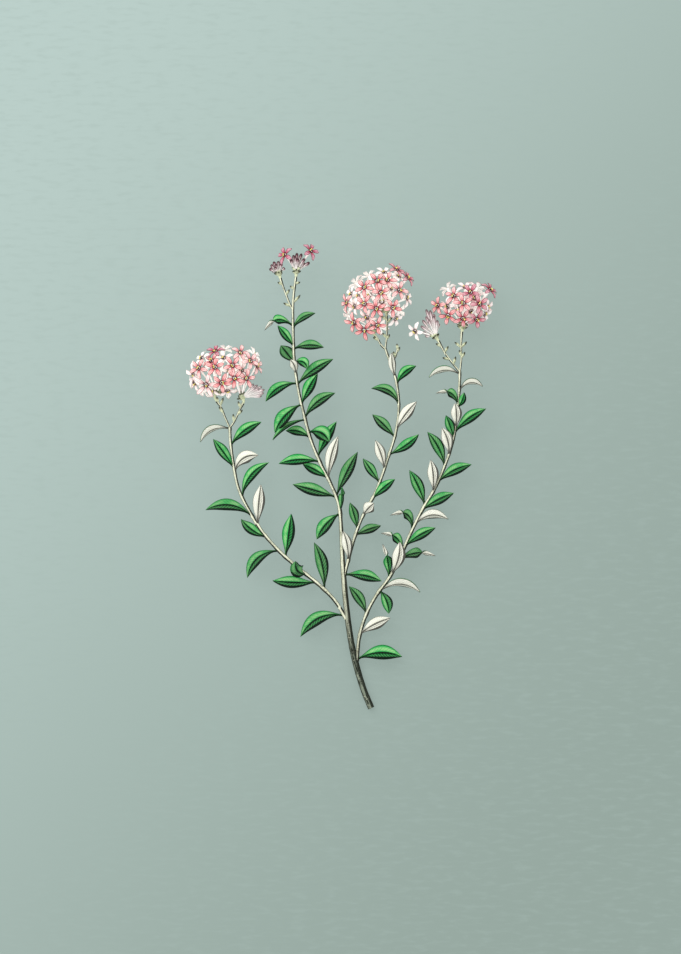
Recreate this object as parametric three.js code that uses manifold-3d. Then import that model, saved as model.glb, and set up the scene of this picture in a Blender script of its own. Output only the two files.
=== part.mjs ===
// Selago stem: a cut, branching flower stem that lies on a flat surface.
// Millimetres, +Z up. +Y runs from the cut end to the flowers, and the origin is on the
// surface under the middle of the stem.
import * as THREE from "three";
import { mergeVertices } from "three/addons/utils/BufferGeometryUtils.js";
import Module from "manifold-3d";

const wasm = await Module();
wasm.setup();

// Driving dimensions
const STEM_LENGTH = 256.7;      // from the cut end to the topmost petal
const LEAF_THICKNESS = 0.6;
const LEAF_FOLD = 0.3;          // rise of a leaf's edges above its midrib, per half width
const PETIOLE_WIDTH = 1.1;
const PETIOLE_SHARE = 0.1;      // length of a leaf's stalk, per length of the leaf
const WIDEST = 1.1;             // over 1, the blade is widest past its middle
const SLENDER = 1.1;            // over 1, its two ends are slender
const CURL_START = 0.35;        // between these places a leaf turns over its curled tip
const CURL_END = 0.85;
const BRACT_WIDTH = 1.1;
const BRACT_RISE = 1;           // height of a bract's tip above its foot
const BRACT_ARCH = 0.4;
const FLORET_RADIUS = 5;        // middle of a floret to the tip of a petal
const PETAL_WIDTH = 2.1;
const PETAL_THICKNESS = 0.65;
const SHOULDER_PLACE = 0.62;    // widest place of a petal, as a share of its length
const SHOULDER_LIFT = 0.25;     // height of that place above the petal's foot
const PETAL_DROOP = 0.15;       // fall of the petal's tip below its foot
const THROAT_DEPTH = 0.9;
const MOUTH_RADIUS = 0.85;      // top of a floret's tube
const TUBE_RADIUS = 0.42;       // bottom of a floret's tube
const BUD_RADIUS = 0.85;
const STALK_RADIUS = 0.65;      // flower stalks above a fork
const NECK_RADIUS = 2.1;        // where the tubes of a head run together
const CORE_SHARE = 0.6;         // radius of the core between two necks, per neck radius
const ROOT_DEPTH = 0.7;         // start of a tube or bud from the middle of its neck
const JOINT_GAP = 0.3;          // clearance between neighbouring solids
const CUT_SLANT = 25;           // degrees, the oblique cut at the bottom of the stem
const CUT_PLACE = [16.3, -127.6, 0];
const PHASE_STEP = 2.4;         // radians, turn of each floret after the one before it
const RIM_LEVELS = [2, -3];     // heights of the rim's florets about the middle, in turn
const RIM_TILTS = [0.65, -0.6]; // how far they face up and down
const FACING_LIFT = 0.9;        // how much the upper florets turn up to the viewer
const UNDER_DROP = 0.5;         // how much the lower florets turn down
const UNDER_REACH = 0.85;       // spread of the lower florets, per half size of the head
const LEAST_DOME = 0.06;        // keeps the dome's rim off its middle plane
const BUD_SPREAD = 1.3;         // half size of the buds' dome, per half size of the head
const BUD_RISE = 0.5;
const LEAST_BUD_DOME = 0.1;
const WELD_DISTANCE = 0.0005;   // points that a join leaves closer than this become one
const GOLDEN_ANGLE = Math.PI * (3 - Math.sqrt(5));
const ROUND_SIDES = 5;          // sides of the tubes and buds
const SHORT_STEPS = 2;          // steps along a short tube

// Places along a leaf and along a bract where their outline has points.
const LEAF_ROWS = [0, 0.18, 0.45, 0.75];
const BRACT_ROWS = [0];

// Radius, per bud radius, and place along a closed bud.
const BUD_PROFILE = [[0, 0], [0.45, 0], [1, 0.68], [0.7, 0.92], [0, 1]];

// Places and lengths below are in millimetres on a stem of this length.
const LAYOUT_LENGTH = 256.7;
const UNIT = STEM_LENGTH / LAYOUT_LENGTH;

// Turn of a leaf about its midrib: 0 shows the upper face from above, 180 the underside.
// A turn between them leans the upper face towards the top of the stem.
const UPPER = 20;
const LEANING = 55;
const SIDEWAYS = 90;
const EDGE = 125;
const ROLLED = 145;
const UNDER = 180;
const CURLED = 140;             // twist of a leaf whose tip shows its underside

// Leaf rows: level of the base (y), heading in degrees, length, width, sideways bow of the
// midrib (to the left of its heading), rise of the tip, arch of the middle, turn, and the
// twist that curls the tip over.
const STEMS = {
  stem_tall: {
    // x, y, z and radius of points along the middle of the stem
    path: [
      [16.8, -128.5, 1.35, 1.85], [12.3, -117.5, 2, 1.8], [8.6, -105.5, 2.7, 1.8],
      [6.1, -95, 3.5, 1.75], [3.7, -80, 4.7, 1.7], [1.9, -63, 6, 1.6], [0.6, -45, 7.3, 1.4],
      [-0.2, -28, 8.5, 1.15], [-1.5, -15, 9.4, 1], [-6, -3.5, 10.3, 0.95],
      [-11.5, 7.5, 11.2, 0.95], [-17, 21, 12.2, 0.9], [-20.5, 34, 13.2, 0.9],
      [-23.5, 47, 14.1, 0.85], [-25.8, 63, 15.1, 0.8], [-26.5, 80, 16.1, 0.8],
      [-26.5, 97, 17, 0.75], [-25, 110, 17.5, 0.75],
    ],
    steps: 22,
    leaves: [
      [-20, -132, 19.2, 6.6, -1.8, 1, 3, UPPER, 0],
      [-19, 86, 13.5, 4, -0.6, 6, 1.5, LEANING, 0],
      [-11, 164, 25, 6.6, -0.2, 2, 2.5, UPPER, 0],
      [-10.5, 64, 27, 6.2, 0.5, -3, 2, UPPER, 0],
      [-0.6, 151, 16, 5.4, -0.5, -2, 2, UPPER, 0],
      [-1, 77, 24, 5.8, 1.4, 6, 2, UNDER, 0],
      [8.5, -177, 22.5, 5.8, -1.6, 5, 2, UPPER, 0],
      [11, 62, 22, 5.8, 0.9, 1, 2, UPPER, 0],
      [24.7, -26, 12.5, 8, 2.6, 3, 3, UPPER, 0],
      [21.5, 164, 14, 5.2, -1.7, -3, 1.5, UPPER, 0],
      [31.5, -148, 21, 4.4, -2.2, 5, 2, LEANING, 0],
      [40, -133, 21.5, 7.2, -2.2, 1, 3, UPPER, 0],
      [32.6, 39, 21.5, 5.8, 2.4, 2, 3, UPPER, 0],
      [40, 62, 19, 6, 0.6, 5, 2, UPPER, 0],
      [51, 35, 24, 6, 1.4, 1, 3, UPPER, 0],
      [51.5, -150, 20, 5.4, -3, 0, 3, UPPER, 0],
      [57, 112, 7.8, 4, -0.8, 5, 2, UNDER, 0],
      [63, -28, 8, 5, 2.3, 4, 3, UPPER, 0],
      [62.5, 128, 12.5, 7, 0, -4, 1, UPPER, 0],
      [70.5, 2, 16.5, 5.2, 1.6, 3, 2, UPPER, 0],
      [72, 128, 14, 4.6, -0.2, 5, 1, UPPER, 0],
      [83, -171, 15.8, 5.4, -4.5, 2, 2, UPPER, CURLED],
      [82, 33, 14.5, 3.8, 1.8, 1, 2, UPPER, 0],
    ],
    stalks: [
      { path: [[-26.6, 91.5, 16.7], [-28.2, 94.5, 17], [-31.5, 103, 17.3], [-33.6, 109.1, 17.5]],
        bracts: [[0.25, 155, 4.5], [0.55, 60, 3.5], [0.8, 150, 3]] },
    ],
    bracts: [[95.5, 48, 6], [103, 140, 3], [106, 20, 3]],
  },
  branch_left: {
    path: [
      [3.2, -79, 4.8, 1.1], [-3.8, -68, 5.8, 1.05], [-13.2, -58.7, 7, 1],
      [-24.3, -49.8, 8.4, 1], [-35.3, -39.8, 10, 0.95], [-44.3, -29.2, 11.3, 0.95],
      [-50.7, -18.5, 12.6, 0.9], [-56.5, -6.5, 13.8, 0.9], [-59.5, 8, 15, 0.85],
      [-61, 20, 15.8, 0.85], [-61.3, 27.5, 16.3, 0.85],
    ],
    steps: 12,
    leaves: [
      [-76.3, -154, 26.8, 7, -4.9, 0, 3, UPPER, 0],
      [-62, 102, 26.5, 6.5, -1.7, 3, 2, UPPER, 0],
      [-58, 178, 24, 6.4, 0.5, 0, 2.5, UPPER, 0],
      [-53.6, 128, 9.2, 7.6, 2.4, 6, 4, UPPER, 0],
      [-44, 82, 24, 6.8, -0.2, 3, 2, UPPER, 0],
      [-40.5, -139, 22.8, 6.2, -4.4, -1, 3, UPPER, 0],
      [-33, 145, 17, 5.4, 1.3, -2, 2, UPPER, 0],
      [-26.5, 85, 22.5, 6, 0.4, 7, 2, UNDER, 0],
      [-21.5, 172.5, 25.8, 6.2, -4.4, 2, 3, UPPER, 0],
      [-11, 52, 24, 5.6, 3.5, 4, 2, UPPER, 0],
      [3, 34, 15.8, 6.4, 3.4, 5, 2, UNDER, 0],
      [5, 126, 19.5, 5.4, -0.3, 0, 2, UPPER, 0],
      [17.5, 37, 21, 5.8, 1.9, 1, 2.5, UPPER, 0],
      [26.5, -156, 17.8, 5.4, -3.6, 1, 2, EDGE, 0],
    ],
    stalks: [
      { path: [[-61.3, 27, 16.3], [-64, 33, 16.7], [-66, 38, 17], [-68.5, 41.6, 17.2]],
        bracts: [[0.45, 125, 4.5], [0.75, 70, 5], [0.9, 100, 3.5]] },
      { path: [[-61.3, 27, 16.3], [-58.8, 30.5, 16.7], [-56.3, 36, 17], [-54, 40.5, 17.2]],
        bracts: [[0.3, 95, 4.5], [0.55, 45, 4], [0.8, 110, 4]] },
    ],
    bracts: [],
  },
  branch_middle: {
    path: [
      [1.2, -56, 6.5, 0.95], [3, -49, 7.3, 0.95], [5.7, -38.5, 8.3, 0.95],
      [9.2, -27.5, 9.3, 0.9], [13, -19, 10.2, 0.9], [18, -10, 11.4, 0.9],
      [22.1, 0, 12.5, 0.85], [26.1, 12, 13.8, 0.85], [29.4, 22.5, 15, 0.8],
      [31.4, 35, 16.3, 0.8], [31.2, 45, 17.3, 0.8], [29.5, 55, 18.3, 0.75],
      [26.5, 63.5, 19.2, 0.75], [24, 70.5, 20, 0.75],
    ],
    steps: 14,
    leaves: [
      [-53.8, -10, 20.6, 6, 1.5, 3, 3, UPPER, 0],
      [-46, 100, 16.5, 5, -0.9, 6, 2.5, UNDER, 0],
      [-28.5, 106, 15, 4.8, -0.2, 3, 1.5, UPPER, 0],
      [-32, 20, 15, 4.8, 0.5, -3, 1, UPPER, 0],
      [-20.8, 48, 8.5, 6, 0.5, 4, 2, UNDER, 0],
      [-12, 41, 16.5, 5, 0.6, 1, 2, UPPER, 0],
      [-3, 125, 16, 4.8, 0, 2, 2, UPPER, 0],
      [4.5, 108, 16.5, 5, -0.6, 5, 2, UNDER, 0],
      [12.5, 34, 19.5, 5.2, -1, 1, 2, UPPER, 0],
      [22, 135, 17.4, 5.4, -0.4, 0, 2, UPPER, 0],
      [26, 54, 19, 5.6, 1, 4, 2, UNDER, 0],
      [39.5, 149, 17.6, 5, -3.9, 1, 2, UPPER, 0],
      [51, 43, 14.5, 4.8, 1.9, 0, 2, UPPER, 0],
      [55, 98, 13.5, 3.4, 0.7, 5, 1, UNDER, 0],
    ],
    stalks: [
      { path: [[24.2, 70, 19.9], [22, 72, 20.2], [20, 75.5, 20.5], [18.4, 77.4, 20.8]],
        bracts: [[0.6, 150, 3.5]] },
      { path: [[24, 70, 19.9], [24.8, 77, 20.6], [25, 84, 21.1], [24.6, 88.5, 21.4]],
        bracts: [[0.25, 60, 3.5], [0.3, 130, 3.5], [0.7, 50, 4.5], [0.8, 140, 4]] },
      { path: [[27, 62, 19], [29.5, 66, 20.5], [30.8, 70.5, 21.5]],
        bracts: [[0.5, 110, 3], [0.75, 60, 3.5], [0.95, 95, 3]] },
    ],
    bracts: [],
  },
  branch_right: {
    path: [
      [8.3, -105, 2.7, 1.05], [8.8, -98, 3.3, 1.05], [10, -87.5, 4.2, 1.05],
      [13.8, -75.5, 5.3, 1], [19.4, -65, 6.5, 1], [26.6, -55, 7.9, 0.95],
      [33, -42.5, 9.2, 0.95], [38.5, -30, 10.5, 0.95], [44.5, -18, 11.7, 0.9],
      [51.5, -6, 12.9, 0.9], [57.5, 8, 14.1, 0.85], [61.3, 20, 15.1, 0.85],
      [63.5, 34, 16.1, 0.8], [64.7, 48, 16.9, 0.8], [65, 58, 17.4, 0.8],
    ],
    steps: 15,
    leaves: [
      [-100.5, 3, 24.8, 7.8, 3, 1, 3, UPPER, 0],
      [-86.6, 28, 19, 5.8, 1.2, 4, 2, UNDER, 0],
      [-75.5, 122.5, 18, 5.4, -1.2, 0, 2, UPPER, 0],
      [-62.5, -69, 13.5, 5.6, 1.3, 4, 4, UPPER, 0],
      [-63, -1, 22.6, 7, 4.5, 1, 2, EDGE, 0],
      [-55.5, 101, 19, 5.2, -0.8, 1, 2, UPPER, CURLED],
      [-53.5, 76, 18.5, 6.6, -1.5, 8, 2, UNDER, 0],
      [-41, 140, 15.6, 5.4, -3.4, 0, 2, UPPER, CURLED],
      [-45.5, 6, 20.2, 5.8, 2.6, 1, 2, UPPER, CURLED],
      [-38, 31, 19.5, 5.4, 1.1, 2, 2, UPPER, 0],
      [-29, 147, 14.5, 5.6, -5.4, 1, 2, UPPER, CURLED],
      [-26, 9, 18.5, 5.6, 3.8, 1, 2, ROLLED, 0],
      [-18, 28, 19.5, 5.8, 0.9, 2, 2, UPPER, 0],
      [-15.5, 114, 21, 6, -0.7, 1, 2, UPPER, 0],
      [-8, 95, 17.5, 5.4, -0.7, 6, 2, UNDER, 0],
      [-2.5, 27, 20.5, 5.8, 1.6, 1, 2, UPPER, 0],
      [6, 117, 21, 6, -1.4, 1, 2, UPPER, 0],
      [12, 105, 15.5, 5.6, -1.4, 7, 2, UNDER, 0],
      [21.5, 109, 13, 4.8, -0.1, 1, 1.5, UPPER, 0],
      [24.5, 37, 21.5, 5.8, 1.6, 1, 2, UPPER, 0],
      [27.5, 92, 13, 5.4, -0.6, 6, 2, UNDER, 0],
      [39.5, 152, 13.8, 5, -3.8, 1, 2, UPPER, CURLED],
      [38.5, 68, 8.5, 3.6, -0.8, 3, 1, UPPER, 0],
      [56.5, -174, 17, 5.2, -3.2, 1, 2, EDGE, 0],
      [47.8, 9, 13, 4.8, 3.2, 1, 2, EDGE, 0],
    ],
    stalks: [
      { path: [[65, 57.5, 17.4], [61.7, 61.5, 17.8], [57, 67.7, 18.2], [53.2, 74.7, 18.6]],
        bracts: [[0.35, 75, 4.5], [0.5, 165, 4], [0.7, 60, 4], [0.85, 150, 3.5]] },
      { path: [[65, 57.5, 17.4], [65.8, 66, 17.9], [65.6, 72, 18.2], [66, 79.9, 18.5]],
        bracts: [[0.3, 60, 4], [0.35, 110, 3.5], [0.62, 45, 4.5], [0.62, 140, 4.5]] },
    ],
    bracts: [],
  },
};

// Each head: middle and half sizes of its dome, the tops of the stalks that its florets
// grow from, and its florets and buds as x, y places seen from above.
const HEADS = {
  head_left: {
    finish: "petal",
    middle: [-64, 57, 16.5],
    size: [19, 13.5, 15.6],
    roots: [[-69.6, 43.9, 17.3], [-53.7, 41.8, 17.3]],
    facing: [
      [-78, 59.5], [-69, 60], [-59.5, 61], [-55.5, 68], [-74, 50.5], [-65.5, 51.5],
      [-58.5, 54], [-52, 54], [-50, 63.5],
    ],
    rim: [[-46, 61], [-64.5, 70.5], [-69.5, 69.5], [-47.5, 67.5], [-81, 51.5], [-76.5, 47]],
    under: 4,
    rests: true,
    buds: [[-48, 51], [-43.7, 49.8], [-46, 50.4], [-43.8, 44.6], [-42.2, 48], [-46, 47]],
  },
  head_middle: {
    finish: "petal",
    middle: [20, 95, 20.5],
    size: [17, 18.5, 15],
    roots: [[17.8, 78.2, 21], [24.5, 89.8, 21.5]],
    facing: [
      [12.5, 103.5], [19.5, 107], [25, 107.5], [21.5, 100.5], [31.5, 102], [12.5, 94.5],
      [19, 92], [28, 92.5], [7, 84.5], [12.5, 80.5], [19.5, 83],
    ],
    rim: [
      [30.5, 114], [7.5, 107], [36.5, 109.5], [3, 88.5], [2.5, 95.5], [15, 111],
      [23.5, 112.5], [32, 91],
    ],
    under: 4,
    buds: [],
  },
  head_right: {
    finish: "petal",
    middle: [68, 94.5, 15.5],
    size: [15.5, 11, 14.6],
    roots: [[66.1, 80, 18.6]],
    facing: [
      [61.5, 99], [53, 94], [66.5, 95], [58.5, 88.5], [66.5, 87], [74, 86.5], [75.5, 94.5],
      [70.5, 101],
    ],
    rim: [[82, 103], [58, 104], [68, 104.5], [75, 104.5], [80.5, 93]],
    under: 4,
    rests: true,
    buds: [],
  },
  cluster_right: {
    finish: "bud",
    middle: [47.5, 83.5, 18.6],
    size: [7, 8, 7],
    roots: [[53, 75, 18.7]],
    facing: [],
    rim: [[40.5, 80]],
    under: 0,
    buds: [
      [46.3, 92], [44.4, 86.2], [48.5, 91.5], [46, 77.5], [50.5, 88.5], [44.5, 79.5],
      [52.5, 86], [48.5, 79], [47.5, 86.5], [50, 82.5],
    ],
  },
  head_top_left: {
    finish: "bud",
    middle: [-35, 114.5, 17.6],
    size: [3.8, 3.8, 3.8],
    roots: [[-33.7, 109.4, 17.5]],
    facing: [],
    rim: [],
    under: 0,
    buds: [
      [-39.6, 114.4], [-38.8, 116.6], [-37.4, 118.2], [-34.8, 118.6], [-33, 117.2],
      [-31.3, 115], [-36.6, 115.4], [-34, 114.4],
    ],
  },
  head_top: {
    finish: "bud",
    middle: [-24.5, 119, 17.6],
    size: [5.5, 5, 5],
    roots: [[-25, 110.3, 17.5]],
    facing: [[-31, 121.8], [-17, 124]],
    rim: [],
    under: 0,
    buds: [
      [-28, 119.5], [-26.5, 122], [-24.5, 123], [-22, 122.8], [-20.2, 120], [-17.5, 118],
      [-24, 120], [-22.5, 118],
    ],
  },
};

const MATERIALS = {
  leafy: () => new THREE.MeshStandardMaterial({ color: 0x2f9a49, roughness: 0.6, metalness: 0 }),
  petal: () => new THREE.MeshStandardMaterial({ color: 0xe9a3aa, roughness: 0.7, metalness: 0 }),
  bud: () => new THREE.MeshStandardMaterial({ color: 0xd9b3bb, roughness: 0.7, metalness: 0 }),
};

// A layout place as a point of the part.
function place([x, y, z]) {
  return new THREE.Vector3(x, y, z).multiplyScalar(UNIT);
}

// A closed geometry as a solid that can be joined and cut.
function solidFrom(geometry) {
  const bare = geometry.clone();
  bare.deleteAttribute("normal");
  bare.deleteAttribute("uv");
  const merged = mergeVertices(bare, 1e-4);
  return new wasm.Manifold(new wasm.Mesh({
    numProp: 3,
    vertProperties: new Float32Array(merged.attributes.position.array),
    triVerts: new Uint32Array(merged.index.array),
  }));
}

// A solid as a geometry, its points welded where a join left them almost on each other.
function geometryFrom(solid) {
  const mesh = solid.getMesh();
  const raw = new THREE.BufferGeometry();
  raw.setAttribute("position", new THREE.BufferAttribute(mesh.vertProperties, 3));
  raw.setIndex(new THREE.BufferAttribute(mesh.triVerts, 1));
  const geometry = mergeVertices(raw, WELD_DISTANCE);
  const corners = geometry.index.array;
  const kept = [];
  for (let i = 0; i < corners.length; i += 3) {
    const [a, b, c] = corners.slice(i, i + 3);
    if (a !== b && b !== c && c !== a) {
      kept.push(a, b, c);
    }
  }
  geometry.setIndex(kept);
  geometry.computeVertexNormals();
  return geometry;
}

function joined(geometries) {
  return geometries.map(solidFrom).reduce((whole, piece) => whole.add(piece));
}

// Two directions square to a direction, the first as near to +Z as it can be.
function crossAxes(direction) {
  const up = new THREE.Vector3(0, 0, 1).addScaledVector(direction, -direction.z);
  if (up.lengthSq() < 1e-4) {
    up.set(0, 1, 0).addScaledVector(direction, -direction.y);
  }
  up.normalize();
  return { up, side: new THREE.Vector3().crossVectors(up, direction) };
}

// A closed tube along a curve, with its radius given as a function of 0 to 1 along it.
function taperedTube(curve, radiusAt, sides, steps) {
  const geometry = new THREE.CylinderGeometry(1, 1, 1, sides, steps);
  const position = geometry.attributes.position;
  for (let i = 0; i < position.count; i += 1) {
    const along = position.getY(i) + 0.5;
    const { up, side } = crossAxes(curve.getTangent(along));
    const radius = radiusAt(along);
    const point = curve.getPoint(along)
      .addScaledVector(side, -position.getX(i) * radius)
      .addScaledVector(up, position.getZ(i) * radius);
    position.setXYZ(i, point.x, point.y, point.z);
  }
  return geometry;
}

// A closed blade from rows of points, each row left, rib and right on both of its faces,
// and a tip with one point on each face. Both faces are split into triangles alike.
function bladeFromRows(rows, tip) {
  const points = [...rows.flatMap((row) => [...row.top, ...row.bottom]), tip.top, tip.bottom];
  const triangles = [];
  const quad = (a, b, c, d) => triangles.push(a, b, c, a, c, d);
  const top = (row, column) => row * 6 + column;
  const bottom = (row, column) => row * 6 + 3 + column;
  const last = rows.length - 1;
  const tipTop = rows.length * 6;
  const tipBottom = tipTop + 1;
  for (let row = 0; row < last; row += 1) {
    for (let column = 0; column < 2; column += 1) {
      quad(top(row, column), top(row, column + 1), top(row + 1, column + 1), top(row + 1, column));
      quad(bottom(row, column), bottom(row + 1, column), bottom(row + 1, column + 1),
        bottom(row, column + 1));
    }
    quad(top(row, 0), top(row + 1, 0), bottom(row + 1, 0), bottom(row, 0));
    quad(top(row, 2), bottom(row, 2), bottom(row + 1, 2), top(row + 1, 2));
  }
  for (let column = 0; column < 2; column += 1) {
    quad(top(0, column), bottom(0, column), bottom(0, column + 1), top(0, column + 1));
    triangles.push(top(last, column), top(last, column + 1), tipTop);
    triangles.push(bottom(last, column), tipBottom, bottom(last, column + 1));
  }
  quad(top(last, 0), tipTop, tipBottom, bottom(last, 0));
  quad(top(last, 2), bottom(last, 2), tipBottom, tipTop);
  const geometry = new THREE.BufferGeometry();
  geometry.setAttribute("position",
    new THREE.Float32BufferAttribute(points.flatMap((point) => point.toArray()), 3));
  geometry.setIndex(triangles);
  return geometry;
}

// Half the width of a leaf at 0 to 1 along it: a narrow foot, a broad middle, a sharp tip.
function leafHalfWidth(along, width) {
  const blade = Math.max(0, (along - PETIOLE_SHARE) / (1 - PETIOLE_SHARE));
  const swell = Math.sin(Math.PI * blade ** WIDEST) ** SLENDER;
  const foot = (PETIOLE_WIDTH / 2) * (1 - along);
  return foot + (width / 2) * swell;
}

// A lance-shaped leaf or bract along a bent midrib, from its row of sizes and angles.
function leaf(base, [headingDegrees, length, width, bow, rise, arch, turn, twist], rows) {
  const heading = THREE.MathUtils.degToRad(headingDegrees);
  const forward = new THREE.Vector3(Math.cos(heading), Math.sin(heading), 0);
  const left = new THREE.Vector3(-forward.y, forward.x, 0);
  const tip = base.clone().addScaledVector(forward, length * UNIT);
  tip.z += rise * UNIT;
  const bend = base.clone().add(tip).multiplyScalar(0.5).addScaledVector(left, 2 * bow * UNIT);
  bend.z += 2 * arch * UNIT;
  const midrib = new THREE.QuadraticBezierCurve3(base, bend, tip);
  const rowAt = (along) => {
    const { up, side } = crossAxes(midrib.getTangent(along));
    const lean = side.y > 0 ? 1 : -1;
    const curl = THREE.MathUtils.smoothstep(along, CURL_START, CURL_END);
    const angle = THREE.MathUtils.degToRad(turn + twist * curl) * lean;
    const axis = up.clone().cross(side);
    const face = up.clone().applyAxisAngle(axis, angle);
    const across = side.clone().applyAxisAngle(axis, angle);
    const half = leafHalfWidth(along, width * UNIT);
    const rib = midrib.getPoint(along);
    const point = (reach, height) => rib.clone()
      .addScaledVector(across, reach * half)
      .addScaledVector(face, Math.abs(reach) * half * LEAF_FOLD + height);
    return {
      top: [1, 0, -1].map((reach) => point(reach, LEAF_THICKNESS / 2)),
      bottom: [1, 0, -1].map((reach) => point(reach, -LEAF_THICKNESS / 2)),
    };
  };
  const end = rowAt(1);
  return bladeFromRows(rows.map(rowAt), { top: end.top[1], bottom: end.bottom[1] });
}

// A floret in one closed piece: a five-sided tube that opens into five blunt petals.
function floret(root, mouth, facing, phase) {
  const { up, side } = crossAxes(facing);
  const points = [];
  const triangles = [];
  const ringAngle = (petal) => phase + (petal - 0.5) * (Math.PI * 2 / 5);
  const limbPoint = (angle, along, across, height) => mouth.clone()
    .addScaledVector(side, Math.cos(angle) * along - Math.sin(angle) * across)
    .addScaledVector(up, Math.sin(angle) * along + Math.cos(angle) * across)
    .addScaledVector(facing, height);
  const add = (point) => points.push(point) - 1;
  const foot = [0, 1, 2, 3, 4].map((petal) => add(root.clone()
    .addScaledVector(side, Math.cos(ringAngle(petal)) * TUBE_RADIUS)
    .addScaledVector(up, Math.sin(ringAngle(petal)) * TUBE_RADIUS)));
  const neck = [0, 1, 2, 3, 4].map((petal) =>
    add(limbPoint(ringAngle(petal), MOUTH_RADIUS, 0, 0)));
  triangles.push(foot[0], foot[2], foot[1], foot[0], foot[3], foot[2], foot[0], foot[4], foot[3]);
  const notchTop = [0, 1, 2, 3, 4].map((petal) =>
    add(limbPoint(ringAngle(petal), MOUTH_RADIUS, 0, PETAL_THICKNESS)));
  const throat = add(limbPoint(0, 0, 0, PETAL_THICKNESS - THROAT_DEPTH));
  const half = PETAL_WIDTH / 2;
  const outline = [
    [SHOULDER_PLACE * FLORET_RADIUS, -half, SHOULDER_LIFT],
    [FLORET_RADIUS, 0, -PETAL_DROOP],
    [SHOULDER_PLACE * FLORET_RADIUS, half, SHOULDER_LIFT],
  ];
  for (let petal = 0; petal < 5; petal += 1) {
    const next = (petal + 1) % 5;
    triangles.push(foot[petal], foot[next], neck[next], foot[petal], neck[next], neck[petal]);
    triangles.push(throat, notchTop[petal], notchTop[next]);
    const angle = phase + petal * (Math.PI * 2 / 5);
    const edge = (height) => outline.map(([along, across, lift]) =>
      add(limbPoint(angle, along, across, lift + height)));
    const under = [neck[petal], ...edge(0), neck[next]];
    const over = [notchTop[petal], ...edge(PETAL_THICKNESS), notchTop[next]];
    [[0, 1, 3], [0, 3, 4], [1, 2, 3]].forEach(([a, b, c]) => {
      triangles.push(over[a], over[b], over[c], under[a], under[c], under[b]);
    });
    for (let i = 0; i < 4; i += 1) {
      triangles.push(under[i], under[i + 1], over[i + 1], under[i], over[i + 1], over[i]);
    }
  }
  const geometry = new THREE.BufferGeometry();
  geometry.setAttribute("position",
    new THREE.Float32BufferAttribute(points.flatMap((point) => point.toArray()), 3));
  geometry.setIndex(triangles);
  return geometry;
}

// A closed club-shaped bud from its root to its tip.
function bud(root, tip) {
  const length = root.distanceTo(tip);
  const profile = BUD_PROFILE.map(([radius, along]) =>
    new THREE.Vector2(radius * BUD_RADIUS, along * length));
  const geometry = new THREE.LatheGeometry(profile, ROUND_SIDES);
  const direction = tip.clone().sub(root).normalize();
  geometry.applyQuaternion(
    new THREE.Quaternion().setFromUnitVectors(new THREE.Vector3(0, 1, 0), direction));
  geometry.translate(root.x, root.y, root.z);
  return geometry;
}

function stemCurve(path) {
  return new THREE.CatmullRomCurve3(path.map(place));
}

// Place along a stem where its middle reaches a level.
function alongAtLevel(curve, level) {
  let low = 0;
  let high = 1;
  for (let i = 0; i < 30; i += 1) {
    const middle = (low + high) / 2;
    if (curve.getPoint(middle).y < level * UNIT) {
      low = middle;
    } else {
      high = middle;
    }
  }
  return (low + high) / 2;
}

function radiusAlong(path) {
  return (along) => {
    const span = along * (path.length - 1);
    const index = Math.min(Math.floor(span), path.length - 2);
    return UNIT * THREE.MathUtils.lerp(path[index][3], path[index + 1][3], span - index);
  };
}

function bract(base, heading, length) {
  return leaf(base, [heading, length, BRACT_WIDTH, 0, BRACT_RISE, BRACT_ARCH, UPPER, 0],
    BRACT_ROWS);
}

// A leafy stem with its flower stalks and bracts as one solid.
function leafyStem({ path, steps, leaves, stalks, bracts }) {
  const curve = stemCurve(path);
  const pieces = [taperedTube(curve, radiusAlong(path), ROUND_SIDES, steps)];
  leaves.forEach(([level, ...sizes]) => {
    pieces.push(leaf(curve.getPoint(alongAtLevel(curve, level)), sizes, LEAF_ROWS));
  });
  bracts.forEach(([level, heading, length]) => {
    pieces.push(bract(curve.getPoint(alongAtLevel(curve, level)), heading, length));
  });
  stalks.forEach((stalk) => {
    const stalkCurve = stemCurve(stalk.path);
    pieces.push(taperedTube(stalkCurve, () => STALK_RADIUS, ROUND_SIDES, SHORT_STEPS));
    stalk.bracts.forEach(([along, heading, length]) => {
      pieces.push(bract(stalkCurve.getPoint(along), heading, length));
    });
  });
  return joined(pieces);
}

// A large block under a plane through a point, to cut with. The plane is level until it is
// tilted about X and then turned about Z.
function blockBelow(point, tiltDegrees, turnDegrees) {
  const size = 2 * STEM_LENGTH;
  const block = new THREE.BoxGeometry(size, size, size);
  block.translate(0, 0, -size / 2);
  block.rotateX(THREE.MathUtils.degToRad(tiltDegrees));
  block.rotateZ(THREE.MathUtils.degToRad(turnDegrees));
  block.translate(point.x, point.y, point.z);
  return solidFrom(block);
}

function nearest(points, target) {
  return points.reduce((best, point) =>
    (point.distanceTo(target) < best.distanceTo(target) ? point : best));
}

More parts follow.
